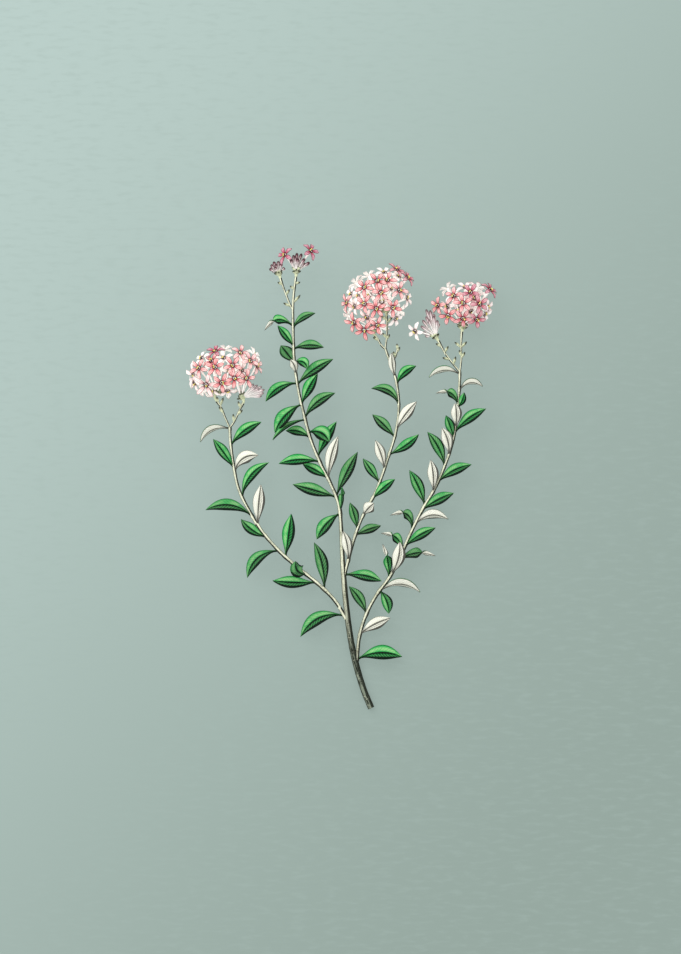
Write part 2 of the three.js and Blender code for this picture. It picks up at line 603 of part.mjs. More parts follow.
// A flower head: florets and buds that spread from short necks on top of their stalks.
function flowerHead({ middle, size, roots, facing, rim, under, buds }) {
  const centre = place(middle);
  const half = place(size);
  const necks = roots.map(place).map((root) =>
    root.clone().addScaledVector(centre.clone().sub(root).normalize(), NECK_RADIUS));
  const rootOf = (target) => {
    const neck = nearest(necks, target);
    return neck.clone().lerp(target, ROOT_DEPTH / neck.distanceTo(target));
  };
  const pieces = necks.map((neck) => {
    const ball = new THREE.IcosahedronGeometry(NECK_RADIUS, 0);
    return ball.translate(neck.x, neck.y, neck.z);
  });
  if (necks.length > 1) {
    const between = centre.clone().lerp(necks[0], 0.5);
    const core = new THREE.CatmullRomCurve3([necks[0], between, necks[1]]);
    pieces.push(taperedTube(core, () => NECK_RADIUS * CORE_SHARE, ROUND_SIDES, SHORT_STEPS));
  }
  const addFloret = (mouth, outward, phase) => {
    pieces.push(floret(rootOf(mouth), mouth, outward.normalize(), phase));
  };
  const domeHeight = (x, y) => {
    const across = (x - centre.x) / half.x;
    const along = (y - centre.y) / half.y;
    return half.z * Math.sqrt(Math.max(LEAST_DOME, 1 - across ** 2 - along ** 2));
  };
  facing.forEach(([x, y], index) => {
    const mouth = place([x, y, 0]);
    mouth.z = centre.z + domeHeight(mouth.x, mouth.y);
    const outward = mouth.clone().sub(centre).divide(half).normalize();
    outward.z += FACING_LIFT;
    addFloret(mouth, outward, index * PHASE_STEP);
  });
  rim.forEach(([x, y], index) => {
    const mouth = place([x, y, 0]);
    mouth.z = centre.z + RIM_LEVELS[index % 2] * UNIT;
    const outward = mouth.clone().sub(centre).divide(half);
    outward.z = RIM_TILTS[index % 2];
    addFloret(mouth, outward, index * PHASE_STEP + 1);
  });
  for (let index = 0; index < under; index += 1) {
    const angle = index * GOLDEN_ANGLE;
    const reach = Math.sqrt((index + 0.5) / under) * UNDER_REACH;
    const mouth = centre.clone();
    mouth.x += Math.cos(angle) * reach * half.x;
    mouth.y += Math.sin(angle) * reach * half.y;
    mouth.z -= domeHeight(mouth.x, mouth.y);
    const outward = mouth.clone().sub(centre).divide(half).normalize();
    outward.z -= UNDER_DROP;
    addFloret(mouth, outward, index * PHASE_STEP + 2);
  }
  buds.forEach(([x, y], index) => {
    const tip = place([x, y, 0]);
    const across = (tip.x - centre.x) / (half.x * BUD_SPREAD);
    const along = (tip.y - centre.y) / (half.y * BUD_SPREAD);
    const lift = Math.sqrt(Math.max(LEAST_BUD_DOME, 1 - across ** 2 - along ** 2));
    const side = index % 2 === 0 ? 1 : -1;
    tip.z = necks[necks.length - 1].z + side * lift * half.z * BUD_RISE;
    pieces.push(bud(rootOf(tip), tip));
  });
  return joined(pieces);
}

// A solid moved straight down or up until its lowest point touches the surface.
function settled(solid) {
  return solid.translate([0, 0, -solid.boundingBox().min[2]]);
}

function addMesh(group, name, solid, material) {
  const mesh = new THREE.Mesh(geometryFrom(solid), material);
  mesh.name = name;
  group.add(mesh);
}

const selagoStem = new THREE.Group();
const floor = blockBelow(new THREE.Vector3(), 0, 0);
const cutEnd = blockBelow(place(CUT_PLACE), -90, CUT_SLANT);

// The branches stand a joint gap away from the main stem that they spring from.
const mainStem = STEMS.stem_tall;
const mainCurve = stemCurve(mainStem.path);
const mainRadius = radiusAlong(mainStem.path);
const clearance = solidFrom(
  taperedTube(mainCurve, (along) => mainRadius(along) + JOINT_GAP, ROUND_SIDES, mainStem.steps));

Object.entries(STEMS).forEach(([name, stem]) => {
  const whole = leafyStem(stem);
  const trimmed = name === "stem_tall"
    ? whole.subtract(cutEnd).subtract(floor)
    : whole.subtract(clearance);
  addMesh(selagoStem, name, trimmed, MATERIALS.leafy());
});

Object.entries(HEADS).forEach(([name, head]) => {
  const whole = flowerHead(head);
  addMesh(selagoStem, name, head.rests ? settled(whole) : whole, MATERIALS[head.finish]());
});

export default selagoStem;
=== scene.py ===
"""Looks of a cut selago stem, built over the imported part.

The layout repeats the part's own places. They are millimetres on a stem of LAYOUT_LENGTH,
seen from above: +X to the right, +Y to the flowers, +Z up from the surface.
"""

import logging
import math
import random
from dataclasses import dataclass
from enum import Enum
from typing import Callable, Dict, List, Sequence, Tuple, Union

import bmesh
import bpy
from mathutils import Matrix, Vector, noise


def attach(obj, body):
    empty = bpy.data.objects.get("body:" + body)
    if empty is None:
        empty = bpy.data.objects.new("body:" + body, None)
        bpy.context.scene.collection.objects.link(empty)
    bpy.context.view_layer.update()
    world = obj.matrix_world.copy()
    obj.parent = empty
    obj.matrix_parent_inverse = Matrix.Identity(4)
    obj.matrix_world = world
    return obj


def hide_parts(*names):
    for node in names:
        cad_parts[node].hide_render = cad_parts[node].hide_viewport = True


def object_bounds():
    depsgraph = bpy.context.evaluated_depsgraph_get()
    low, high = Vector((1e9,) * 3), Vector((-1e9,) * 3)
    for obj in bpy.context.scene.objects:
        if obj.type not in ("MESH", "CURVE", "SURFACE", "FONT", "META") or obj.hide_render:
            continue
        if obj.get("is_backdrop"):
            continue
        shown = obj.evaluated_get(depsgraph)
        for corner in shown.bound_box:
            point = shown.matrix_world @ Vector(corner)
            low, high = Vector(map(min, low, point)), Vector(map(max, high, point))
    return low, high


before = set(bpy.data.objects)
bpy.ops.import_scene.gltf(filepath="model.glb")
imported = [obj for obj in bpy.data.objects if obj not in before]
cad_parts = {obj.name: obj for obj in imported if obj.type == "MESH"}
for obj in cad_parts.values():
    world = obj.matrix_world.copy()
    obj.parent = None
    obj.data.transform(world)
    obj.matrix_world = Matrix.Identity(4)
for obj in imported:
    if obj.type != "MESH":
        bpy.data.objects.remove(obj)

log = logging.getLogger("selago")

# Driving dimensions, in millimetres
LAYOUT_LENGTH = 256.74          # length of the part's box on the layout's stem
LEAF_THICKNESS = 0.55
LEAF_FOLD = 0.3                 # rise of a leaf's edges above its midrib, per half width
LEAF_WAVE = 0.25                # rise and fall of its edges, per half width
LEAF_GROOVE = 0.12              # depth of its midrib below the blade
PETIOLE_WIDTH = 0.95
BRACT_WIDTH = 1.0
PETIOLE_SHARE = 0.1             # length of a leaf's stalk, per length of the leaf
WIDEST = 1.1                    # over 1, a blade is widest past its middle
SLENDER = 1.1                   # over 1, its two ends are slender
CURL = (0.46, 0.84)             # between these places a leaf turns over its curled tip
CURL_NARROWING = 0.5            # how much narrower a curled tip is
FLORET_RADIUS = 5.6             # middle of a floret to the tip of a petal
PETAL_WIDTH = 2.1
PETAL_THICKNESS = 0.3
MOUTH_RADIUS = 0.85
TUBE_RADIUS = 0.42
THREAD_RADIUS = 0.09
ANTHER_SIZE = Vector((0.33, 0.27, 0.42))
BUD_RADIUS = 1.0
STALK_RADIUS = 0.65
NECK_RADIUS = 2.1               # top of a flower stalk to where its flowers' tubes meet
COLLAR_LENGTHS = (3.2, 4.8)
COLLAR_RISES = (-1.2, 1.6)      # of every other bract
BUD_COLLAR = (0.85, 0.8)        # spread and length of a collar below buds, per usual one
BRACTS_IN_COLLAR = 7
RIM_INSET = 0.7                 # how far the florets of a rim stand in from the layout's places
RIM_HEIGHTS = (2, -3)           # of every other floret at the rim, above the head's middle
RIM_TILTS = (0.65, -0.6)        # how far up or down they face
BEHIND_HEIGHT = 0.45            # height of the florets that stand lower, per height of the dome
UNDER_REACH = 0.85              # how far the underside's florets spread, per half size
BUD_REACH = 1.3                 # how much wider than the head the dome of its buds is
HAIR_RADIUS = 0.05
HAIR_LENGTHS = (0.5, 1.0)
KNOT_HEIGHT = 1.1               # half height of the swelling of a stem at a leaf
KNOT_SWELLING = 0.28            # its height, per radius of the stem
CUT_SLANT = math.radians(25)
CUT_PLACE = Vector((16.3, -127.6, 0))
CUT_RIM = 0.35                  # width of the dark ring at the edge of the cut
FLOOR_GAP = 0.02                # no point is nearer to the surface than this
WELD = 0.001                    # points that are nearer than this are one
FLORET_TURN = math.degrees(2.4)    # from one floret of a head to the next
SEED = 20

PICTURE_HEIGHT = 954            # in pixels
MM_PER_PIXEL = 0.55
# Direction of the light that the painted shade of leaves, bracts and stems is worked out from
LIGHT_FROM = Vector((-0.5, 0.8, 0.0)).normalized()
FAINT_SHINE = {"Specular_IOR_Level": 0.1}

Row = Tuple[float, ...]
Number = Union[float, "Field"]
Colour = Tuple[float, float, float, float]


class Turn(Enum):
    """Turn of a leaf about its midrib and twist of a curled one, in degrees."""

    UPPER = 20
    LEANING = 55
    EDGE = 125
    ROLLED = 145
    UNDER = 180
    CURLED = 140


class Slot(Enum):
    """The record's material slots."""

    LEAF = "leaf"
    PETAL = "petal"
    BUD = "bud"


UPPER, LEANING, EDGE, ROLLED, UNDER, CURLED = (turn.value for turn in Turn)


class StemCurve:
    """A smooth line through points, spaced by the roots of their distances."""

    def __init__(self, points: Sequence[Sequence[float]]) -> None:
        """Keeps the first three numbers of each point, its place."""
        self.points = [Vector(point[:3]) for point in points]

    def point(self, along: float) -> Vector:
        """Place on the line.

        Args:
            along: 0 at the first point to 1 at the last one.

        Returns:
            The place, in millimetres.
        """
        spans = len(self.points) - 1
        place = min(max(along, 0.0), 1.0) * spans
        index = min(int(place), spans - 1)
        weight = place - index
        start, end = self.points[index], self.points[index + 1]
        before = self.points[index - 1] if index > 0 else 2 * start - end
        after = self.points[index + 2] if index + 2 <= spans else 2 * end - start
        gaps = [(b - a).length ** 0.5 for a, b in ((before, start), (start, end), (end, after))]
        first, middle, last = gaps
        leave = (start - before) / first - (end - before) / (first + middle)
        leave = (leave + (end - start) / middle) * middle
        arrive = (end - start) / middle - (after - start) / (middle + last)
        arrive = (arrive + (after - end) / last) * middle
        cubic = 2 * start - 2 * end + leave + arrive
        square = -3 * start + 3 * end - 2 * leave - arrive
        return start + leave * weight + square * weight ** 2 + cubic * weight ** 3

    def tangent(self, along: float) -> Vector:
        """Unit direction of the line at 0 to 1 along it."""
        low, high = max(along - 1e-4, 0.0), min(along + 1e-4, 1.0)
        return (self.point(high) - self.point(low)).normalized()

    def at_level(self, level: float) -> float:
        """Finds where the line reaches a level.

        Args:
            level: a y that the line passes once.

        Returns:
            How far along the line it is, from 0 to 1.
        """
        low, high = 0.0, 1.0
        for _ in range(30):
            middle = (low + high) / 2
            if self.point(middle).y < level:
                low = middle
            else:
                high = middle
        return (low + high) / 2


@dataclass(frozen=True)
class Midrib:
    """A bend from a leaf's foot to its tip."""

    foot: Vector
    bend: Vector
    tip: Vector

    def point(self, along: float) -> Vector:
        """Place at 0 to 1 along the bend."""
        rest = 1 - along
        return self.foot * rest ** 2 + self.bend * (2 * rest * along) + self.tip * along ** 2

    def tangent(self, along: float) -> Vector:
        """Unit direction at 0 to 1 along the bend."""
        forward = (self.bend - self.foot) * (1 - along) + (self.tip - self.bend) * along
        return forward.normalized()


def cross_axes(direction: Vector) -> Tuple[Vector, Vector]:
    """Two directions square to a direction.

    Args:
        direction: a unit direction.

    Returns:
        The one that is nearest to +Z, and the one to the side.
    """
    up = Vector((0, 0, 1)) - direction * direction.z
    if up.length_squared < 1e-4:
        up = Vector((0, 1, 0)) - direction * direction.y
    up.normalize()
    return up, up.cross(direction)


def round_line(direction: Vector, angle: float) -> Vector:
    """The unit direction square to a line, at an angle round it."""
    up, side = cross_axes(direction)
    return side * -math.cos(angle) + up * math.sin(angle)


def smooth(low: float, high: float, value: float) -> float:
    """Smooth step from 0 at low to 1 at high."""
    share = min(max((value - low) / (high - low), 0.0), 1.0)
    return share * share * (3 - 2 * share)


def paint(code: str) -> Colour:
    """Makes a colour linear.

    Args:
        code: its usual six digits.

    Returns:
        The four parts that a socket takes.
    """
    parts = [int(code[i:i + 2], 16) / 255 for i in (0, 2, 4)]
    linear = [p / 12.92 if p <= 0.04045 else ((p + 0.055) / 1.055) ** 2.4 for p in parts]
    return (linear[0], linear[1], linear[2], 1.0)


class Field:
    """A shader socket that works in Python arithmetic."""

    def __init__(self, shader: "Shader", socket: bpy.types.NodeSocket) -> None:
        """Wraps an output socket of a shader's node."""
        self.shader = shader
        self.socket = socket

    def math(self, operation: str, *values: Number) -> "Field":
        """A Math node on the values."""
        return self.shader.make("ShaderNodeMath", {"operation": operation},
                                dict(enumerate(values)))

    def __add__(self, other: Number) -> "Field":
        """Sum."""
        return self.math("ADD", self, other)

    def __sub__(self, other: Number) -> "Field":
        """Difference."""
        return self.math("SUBTRACT", self, other)

    def __rsub__(self, other: Number) -> "Field":
        """Reflected difference."""
        return self.math("SUBTRACT", other, self)

    def __mul__(self, other: Number) -> "Field":
        """Product."""
        return self.math("MULTIPLY", self, other)

    __radd__ = __add__
    __rmul__ = __mul__

    def __abs__(self) -> "Field":
        """Size without sign."""
        return self.math("ABSOLUTE", self)

    def wave(self) -> "Field":
        """0 to 1 and back once for each whole number."""
        return self.math("SINE", self * math.tau) * 0.5 + 0.5

    def step(self, low: float, high: float) -> "Field":
        """Smooth step, which falls where low is above high.

        Args:
            low: value that gives 0.
            high: value that gives 1.

        Returns:
            A field from 0 to 1.
        """
        ends = {"From Min": min(low, high), "From Max": max(low, high)}
        turned = low > high
        ends.update({"To Min": float(turned), "To Max": float(not turned), "Value": self})
        return self.shader.make("ShaderNodeMapRange", {"interpolation_type": "SMOOTHSTEP"}, ends)

    def held(self) -> "Field":
        """The field held between 0 and 1."""
        return self.shader.make("ShaderNodeClamp", {}, {"Value": self})


class Shader:
    """A material's node tree, with what the pieces' point attributes say."""

    def __init__(self, name: str) -> None:
        """Starts a material with its surface shader.

        Args:
            name: name of the material.
        """
        self.material = bpy.data.materials.new(name)
        self.material.use_nodes = True
        self.tree = self.material.node_tree
        self.surface = self.tree.nodes["Principled BSDF"]
        pattern = self.make("ShaderNodeAttribute", {"attribute_name": "pattern"}, {}, "Vector")
        self.pattern = pattern
        self.across, self.along, _ = self.split(pattern)
        self.tone = self.make("ShaderNodeAttribute", {"attribute_name": "tone"}, {}, "Fac")
        self.shade = self.make("ShaderNodeAttribute", {"attribute_name": "shade"}, {}, "Fac")

    def make(self, kind: str, settings: Dict[str, object], inputs: Dict[object, object],
             output: Union[int, str] = 0) -> Field:
        """Adds one node.

        Args:
            kind: the node's type.
            settings: its properties, set first.
            inputs: values or fields by the sockets' numbers, names or identifiers.
            output: the output to return.

        Returns:
            The output as a field.
        """
        node = self.tree.nodes.new(kind)
        for name, value in settings.items():
            setattr(node, name, value)
        for key, value in inputs.items():
            socket = self.pick(node.inputs, key)
            if isinstance(value, Field):
                self.tree.links.new(value.socket, socket)
            else:
                socket.default_value = value
        return Field(self, self.pick(node.outputs, output))

    @staticmethod
    def pick(sockets: Sequence[bpy.types.NodeSocket], key: Union[int, str]) -> bpy.types.NodeSocket:
        """Finds a socket.

        Args:
            sockets: those of a node.
            key: its number, identifier or name.

        Returns:
            The socket.
        """
        if isinstance(key, int):
            return sockets[key]
        found = [s for s in sockets if s.identifier == key] or [s for s in sockets if s.name == key]
        return found[0]

    def split(self, vector: Field) -> List[Field]:
        """The three parts of a vector."""
        whole = self.make("ShaderNodeSeparateXYZ", {}, {"Vector": vector})
        return [Field(self, socket) for socket in whole.socket.node.outputs]

    def mix(self, share: Number, first: Union[Field, str], second: Union[Field, str]) -> Field:
        """A colour between two colours.

        Args:
            share: how much of the second one.
            first: colour where the share is 0, as a field or six digits.
            second: colour where it is 1, in the same way.

        Returns:
            The mixed colour.
        """
        settings = {"data_type": "RGBA", "clamp_factor": True}
        ends = [paint(colour) if isinstance(colour, str) else colour for colour in (first, second)]
        inputs = {"Factor_Float": share, "A_Color": ends[0], "B_Color": ends[1]}
        return self.make("ShaderNodeMix", settings, inputs, "Result_Color")

    def mottle(self, scale: float, detail: float = 3.0, stretch: Row = (1.0, 1.0, 1.0),
               vector: Union[Field, None] = None) -> Field:
        """Soft noise from 0 to 1.

        Args:
            scale: patches per unit of the coordinates.
            detail: octaves.
            stretch: factors of the three coordinates.
            vector: the coordinates, or None for the object's own, in metres.

        Returns:
            The noise.
        """
        place = vector or self.make("ShaderNodeTexCoord", {}, {}, "Object")
        scaled = self.make("ShaderNodeVectorMath", {"operation": "MULTIPLY"},
                           {0: place, 1: stretch})
        inputs = {"Vector": scaled, "Scale": scale, "Detail": detail}
        return self.make("ShaderNodeTexNoise", {}, inputs, "Fac")

    def finish(self, colour: object, rough: Number, relief: Union[Field, None] = None,
               depth: float = 0.0002, glow: float = 0.0,
               **fixed: float) -> bpy.types.Material:
        """Sets the surface shader.

        Args:
            colour: base colour.
            rough: roughness.
            relief: height field for the bump, if any.
            depth: height of the relief in metres.
            glow: light that the surface gives off itself, as a share of the colour.
            fixed: other sockets by name, with _ for each space, that are the same all over.

        Returns:
            The material.
        """
        self.surface.inputs["Emission Strength"].default_value = glow
        painted = [("Base Color", colour), ("Roughness", rough)]
        for name, value in painted + ([("Emission Color", colour)] if glow else []):
            socket = self.surface.inputs[name]
            if isinstance(value, Field):
                self.tree.links.new(value.socket, socket)
            else:
                socket.default_value = value
        if relief is not None:
            bump = self.make("ShaderNodeBump", {}, {"Height": relief, "Distance": depth,
                                                    "Strength": 0.8}, "Normal")
            self.tree.links.new(bump.socket, self.surface.inputs["Normal"])
        for name, value in fixed.items():
            self.surface.inputs[name.replace("_", " ")].default_value = value
        return self.material


@dataclass(frozen=True)
class Finish:
    """A named finish whose material is made once."""

    name: str

    def material(self) -> bpy.types.Material:
        """The finish's material."""
        return bpy.data.materials.get(self.name) or self.painted(Shader(self.name))

    def painted(self, shader: Shader) -> bpy.types.Material:
        """Paints the material; each finish has its own."""
        raise NotImplementedError


@dataclass(frozen=True)
class LeafFace(Finish):
    """Upper side of a leaf: glossy green with a dark midrib and veins, a painted highlight and
    painted shade.
    """

    painted_highlight_green: str = "A2DB92"
    green: str = "2FB057"
    painted_shade_green: str = "0F5B2C"
    ink_and_painted_shade: str = "04090A"
    old: str = "5E7A58"
    veins: float = 15.0

    def painted(self, shader: Shader) -> bpy.types.Material:
        """Paints it from across -1 to 1, along 0 to 1, tone for age and shade for the half with
        painted shade.

        Args:
            shader: the node tree of the material.

        Returns:
            The material.
        """
        side = abs(shader.across)
        blotch = shader.mottle(260.0, 4.0)
        vein = (shader.along * self.veins - side * 2.2 + blotch * 0.35).wave().step(0.62, 0.95)
        # fine hatching that the painted shade is drawn with
        fine = (shader.along * self.veins * 3.1 - side * 5.5 + blotch).wave()
        rib = side.step(0.2, 0.07)
        # painted shade on the half that is turned from the light
        dark = shader.shade.step(0.35, 0.75)
        # dark outline along the margin, wider on the painted-shade half
        margin = (side + dark * 0.22).step(0.78, 0.93)
        # darker at the foot: the dark stalk, with painted shade where the leaf leaves the stem
        foot = shader.along.step(0.34, 0.1)
        # painted highlight beside the midrib, weaker on the shaded half
        painted_highlight = side.step(0.12, 0.4) * side.step(0.86, 0.55) * blotch.step(0.25, 0.6)
        painted_highlight = painted_highlight * (1 - dark * 0.7)
        colour = shader.mix(painted_highlight * 0.75, self.green, self.painted_highlight_green)
        # painted shade in deep green, hatched
        colour = shader.mix(dark * (0.3 + fine * 0.6), colour, self.painted_shade_green)
        colour = shader.mix(shader.tone.step(0.15, 0.9) * 0.6, colour, self.old)
        inked = rib + margin * (0.5 + dark * 0.6) + vein * (0.16 + dark * 0.7)
        # more painted shade by the midrib and towards the margin of the shaded half
        inked = inked + dark * (side.step(0.45, 0.1) * 0.25 + side.step(0.5, 0.95) * 0.5)
        inked = inked + foot * (0.4 + dark * 0.4 + fine * 0.3)
        colour = shader.mix(inked.held() * 0.97, colour, self.ink_and_painted_shade)
        relief = vein * -0.5 + rib * -1.0 + blotch * 0.3
        return shader.finish(colour, blotch * 0.15 + 0.42, relief, 0.00025, **FAINT_SHINE)


@dataclass(frozen=True)
class LeafBack(Finish):
    """Underside of a leaf: pale cream with a raised midrib and fine veins, and painted shade."""

    pale: str = "F9FAEC"
    cream: str = "DFE0C8"
    brown: str = "17150F"
    veins: float = 14.0

    def painted(self, shader: Shader) -> bpy.types.Material:
        """Paints it from across -1 to 1, along 0 to 1 and shade for the half with painted shade.

        Args:
            shader: the node tree of the material.

        Returns:
            The material.
        """
        side = abs(shader.across)
        blotch = shader.mottle(300.0, 3.0)
        vein = (shader.along * self.veins - side * 2.4 + blotch * 0.3).wave().step(0.66, 0.96)
        rib = side.step(0.19, 0.06)
        # painted shade beside the midrib, in cream
        painted_rib_shade = side.step(0.5, 0.12)
        # painted shade on the half that is turned from the light
        dark = shader.shade.step(0.3, 0.8)
        margin = (side + dark * 0.22).step(0.8, 0.96)
        strand = (side * 3.0 + blotch * 0.5).wave().step(0.7, 0.97)
        colour = shader.mix(blotch * 0.4 + painted_rib_shade * 0.25, self.pale, self.cream)
        # dark lines at the midrib, veins, margin and strands, stronger on the painted-shade half
        inked = rib * 0.85 + vein * (0.06 + dark * 0.2) + margin * (0.6 + dark * 0.4)
        inked = inked + strand * (0.18 + dark * 0.55) + shader.along.step(0.32, 0.06) * 0.85
        colour = shader.mix(inked.held() * 0.9, colour, self.brown)
        relief = rib * 1.6 + vein * 0.5 + blotch * 0.2
        return shader.finish(colour, 0.62, relief, 0.00025, **FAINT_SHINE)


@dataclass(frozen=True)
class Bark(Finish):
    """Skin of a stem: cream and green when young, ridged grey-brown bark when old, with painted
    shade on one side.
    """

    young: str = "F2F4D8"
    green: str = "B4C08C"
    dusk: str = "0D110A"
    wood: str = "7D8776"
    crack_and_painted_shade: str = "10150E"

    def painted(self, shader: Shader) -> bpy.types.Material:
        """Paints it from places round and along the stem, tone for age and shade for the painted
        shade of its side.

        Args:
            shader: the node tree of the material.

        Returns:
            The material.
        """
        ridges = shader.mottle(2.4, 4.0, (1.0, 1.0, 0.09), shader.pattern)
        scars = shader.mottle(1.5, 3.0, (0.35, 0.35, 1.0), shader.pattern)
        # painted shade on the side turned from the light, and a thinner dark outline on the lit
        # side
        side = (shader.shade.step(0.0, 0.3) + shader.shade.step(-0.55, -0.85) * 0.8).held()
        young = shader.mix(ridges.step(0.45, 0.75) * 0.4, self.young, self.green)
        stroke = ridges.step(0.48, 0.58) * scars.step(0.4, 0.54)
        young = shader.mix(stroke * 0.5, young, self.dusk)
        # painted shade in dusk on the young skin
        young = shader.mix((side * (0.8 + ridges * 0.3)).held(), young, self.dusk)
        wood = shader.mix(ridges.step(0.4, 0.62), self.wood, self.crack_and_painted_shade)
        wood = shader.mix(scars.step(0.55, 0.75) * 0.4, wood, self.young)
        # painted shade on the old bark
        wood = shader.mix(side * 0.85, wood, self.crack_and_painted_shade)
        colour = shader.mix(shader.tone, young, wood)
        relief = ridges + scars * 0.4 * shader.tone
        return shader.finish(colour, shader.tone * 0.25 + 0.55, relief, 0.00035, **FAINT_SHINE)


@dataclass(frozen=True)
class CutWood(Finish):
    """The cut end: pale wood in rings under a dark rim."""

    pale: str = "8C8A74"
    dark: str = "2A2A20"

    def painted(self, shader: Shader) -> bpy.types.Material:
        """Paints rings by the distance from the middle of the cut, held in the tone.

        Args:
            shader: the node tree of the material.

        Returns:
            The material.
        """
        grain = shader.mottle(2600.0, 2.0)
        rings = (shader.tone * 3.0 + grain * 0.4).wave().step(0.5, 0.9)
        colour = shader.mix(rings * 0.6 + shader.tone.step(0.8, 1.0) * 0.5, self.pale, self.dark)
        return shader.finish(colour, 0.8, rings + grain, 0.0001)


@dataclass(frozen=True)
class PetalFace(Finish):
    """Face of a petal: salmon or mauve with rose veins, edges and foot, or nearly white, with a
    painted highlight.
    """

    white: str = "FFFBF6"
    salmon: str = "E98F8B"
    mauve: str = "A4567A"
    rose: str = "B04A5A"
    dark: str = "35120F"
    # painted glow that lightens petals in shade
    glow: float = 0.2

    def painted(self, shader: Shader) -> bpy.types.Material:
        """Paints it from across and along, tone for depth of colour and shade for mauve.

        Args:
            shader: the node tree of the material.

        Returns:
            The material.
        """
        side = abs(shader.across)
        blush = shader.mottle(420.0, 3.0)
        pink = (shader.tone * (0.45 + blush * 0.9)).held()
        colour = shader.mix(pink, self.white, self.salmon)
        colour = shader.mix(shader.shade * (0.4 + shader.tone * 0.5), colour, self.mauve)
        # painted highlight on the petal, off its middle and edges
        lit = side.step(0.05, 0.35) * side.step(0.75, 0.45) * shader.along.step(0.3, 0.6)
        colour = shader.mix(lit * 0.3, colour, self.white)
        streak = (side * 2.1 + blush * 0.25).wave().step(0.62, 0.98)
        middle = side.step(0.16, 0.02) * shader.along.step(0.95, 0.6)
        edge = side.step(0.55, 0.95) + shader.along.step(0.84, 1.0) * 0.7
        foot = shader.along.step(0.55, 0.1)
        outline = (side.step(0.8, 0.97) + shader.along.step(0.93, 1.0)).held()
        inked = edge * (0.1 + shader.tone * 0.45) + middle * (0.15 + shader.tone * 0.4)
        inked = inked + streak * shader.tone * 0.22 + foot * (0.3 + shader.tone * 0.55)
        colour = shader.mix(inked.held() * 0.85, colour, self.rose)
        colour = shader.mix(shader.along.step(0.25, 0.08) * 0.9, colour, self.dark)
        colour = shader.mix(outline * (0.3 + shader.tone * 0.45), colour, self.dark)
        relief = streak * -0.4 + middle * -0.8 + blush * 0.4
        return shader.finish(colour, 0.55, relief, 0.00012, glow=self.glow, **FAINT_SHINE)


@dataclass(frozen=True)
class PetalBack(Finish):
    """Back of a petal and skin of a tube: white, flushed with pink along fine lines, with a painted
    glow.
    """

    white: str = "FFFBF6"
    flush: str = "EBC3BE"
    line: str = "6A3F42"
    # painted glow that lightens them in shade
    glow: float = 0.2

    def painted(self, shader: Shader) -> bpy.types.Material:
        """Paints it from the place round or across it and along it.

        Args:
            shader: the node tree of the material.

        Returns:
            The material.
        """
        lines = shader.mottle(2.6, 2.0, (1.0, 0.25, 1.0), shader.pattern)
        flush = shader.mottle(180.0, 3.0)
        tint = flush.step(0.45, 0.75) * (0.25 + shader.tone * 0.4)
        colour = shader.mix(tint, self.white, self.flush)
        colour = shader.mix(lines.step(0.58, 0.68) * 0.3 + shader.shade * 0.15, colour, self.line)
        return shader.finish(colour, 0.55, lines, 0.0001, glow=self.glow, **FAINT_SHINE)


@dataclass(frozen=True)
class Throat(Finish):
    """Inside of a tube: dark wine red."""

    dark: str = "3A1424"
    wine: str = "8C2F50"

    def painted(self, shader: Shader) -> bpy.types.Material:
        """Paints it dark wine red, flecked with lighter wine.

        Args:
            shader: the node tree of the material.

        Returns:
            The material.
        """
        speck = shader.mottle(900.0, 2.0)
        colour = shader.mix(speck.step(0.4, 0.8) * 0.6, self.dark, self.wine)
        return shader.finish(colour, 0.6, speck, 0.0001)


@dataclass(frozen=True)
class Pollen(Finish):
    """Anthers: grainy cream yellow with a brown seam, with a faint painted glow."""

    yellow: str = "F5E45C"
    cream: str = "FDF6B4"
    brown: str = "8A5A2A"

    def painted(self, shader: Shader) -> bpy.types.Material:
        """Paints it with fine grain, and a seam along its length.

        Args:
            shader: the node tree of the material.

        Returns:
            The material.
        """
        grain = shader.mottle(2400.0, 3.0)
        colour = shader.mix(grain.step(0.4, 0.7), self.yellow, self.cream)
        colour = shader.mix(abs(shader.across).step(0.16, 0.0) * 0.5, colour, self.brown)
        # faint painted glow of the anthers
        return shader.finish(colour, 0.85, grain, 0.0002, glow=0.15, **FAINT_SHINE)


@dataclass(frozen=True)
class Cup(Finish):
    """Calyces, bracts and flower buds' feet: pale yellow green with dark points and painted shade.
    """

    pale: str = "EEF2D2"
    green: str = "B2C384"
    point: str = "12150D"

    def painted(self, shader: Shader) -> bpy.types.Material:
        """Paints it from pale at the foot to dark at the points.

        Args:
            shader: the node tree of the material.

        Returns:
            The material.
        """
        ribs = (shader.across * 2.5).wave().step(0.55, 0.95)
        fleck = shader.mottle(700.0, 3.0)
        colour = shader.mix(ribs * 0.4 + fleck * 0.35, self.pale, self.green)
        # dark points, with painted shade on the half of a bract turned from the light
        points = shader.along.step(0.48, 0.92) + shader.shade.step(0.6, 0.95) * 0.5
        colour = shader.mix(points.held() * 0.92, colour, self.point)
        return shader.finish(colour, 0.6, ribs + fleck * 0.5, 0.0001, **FAINT_SHINE)


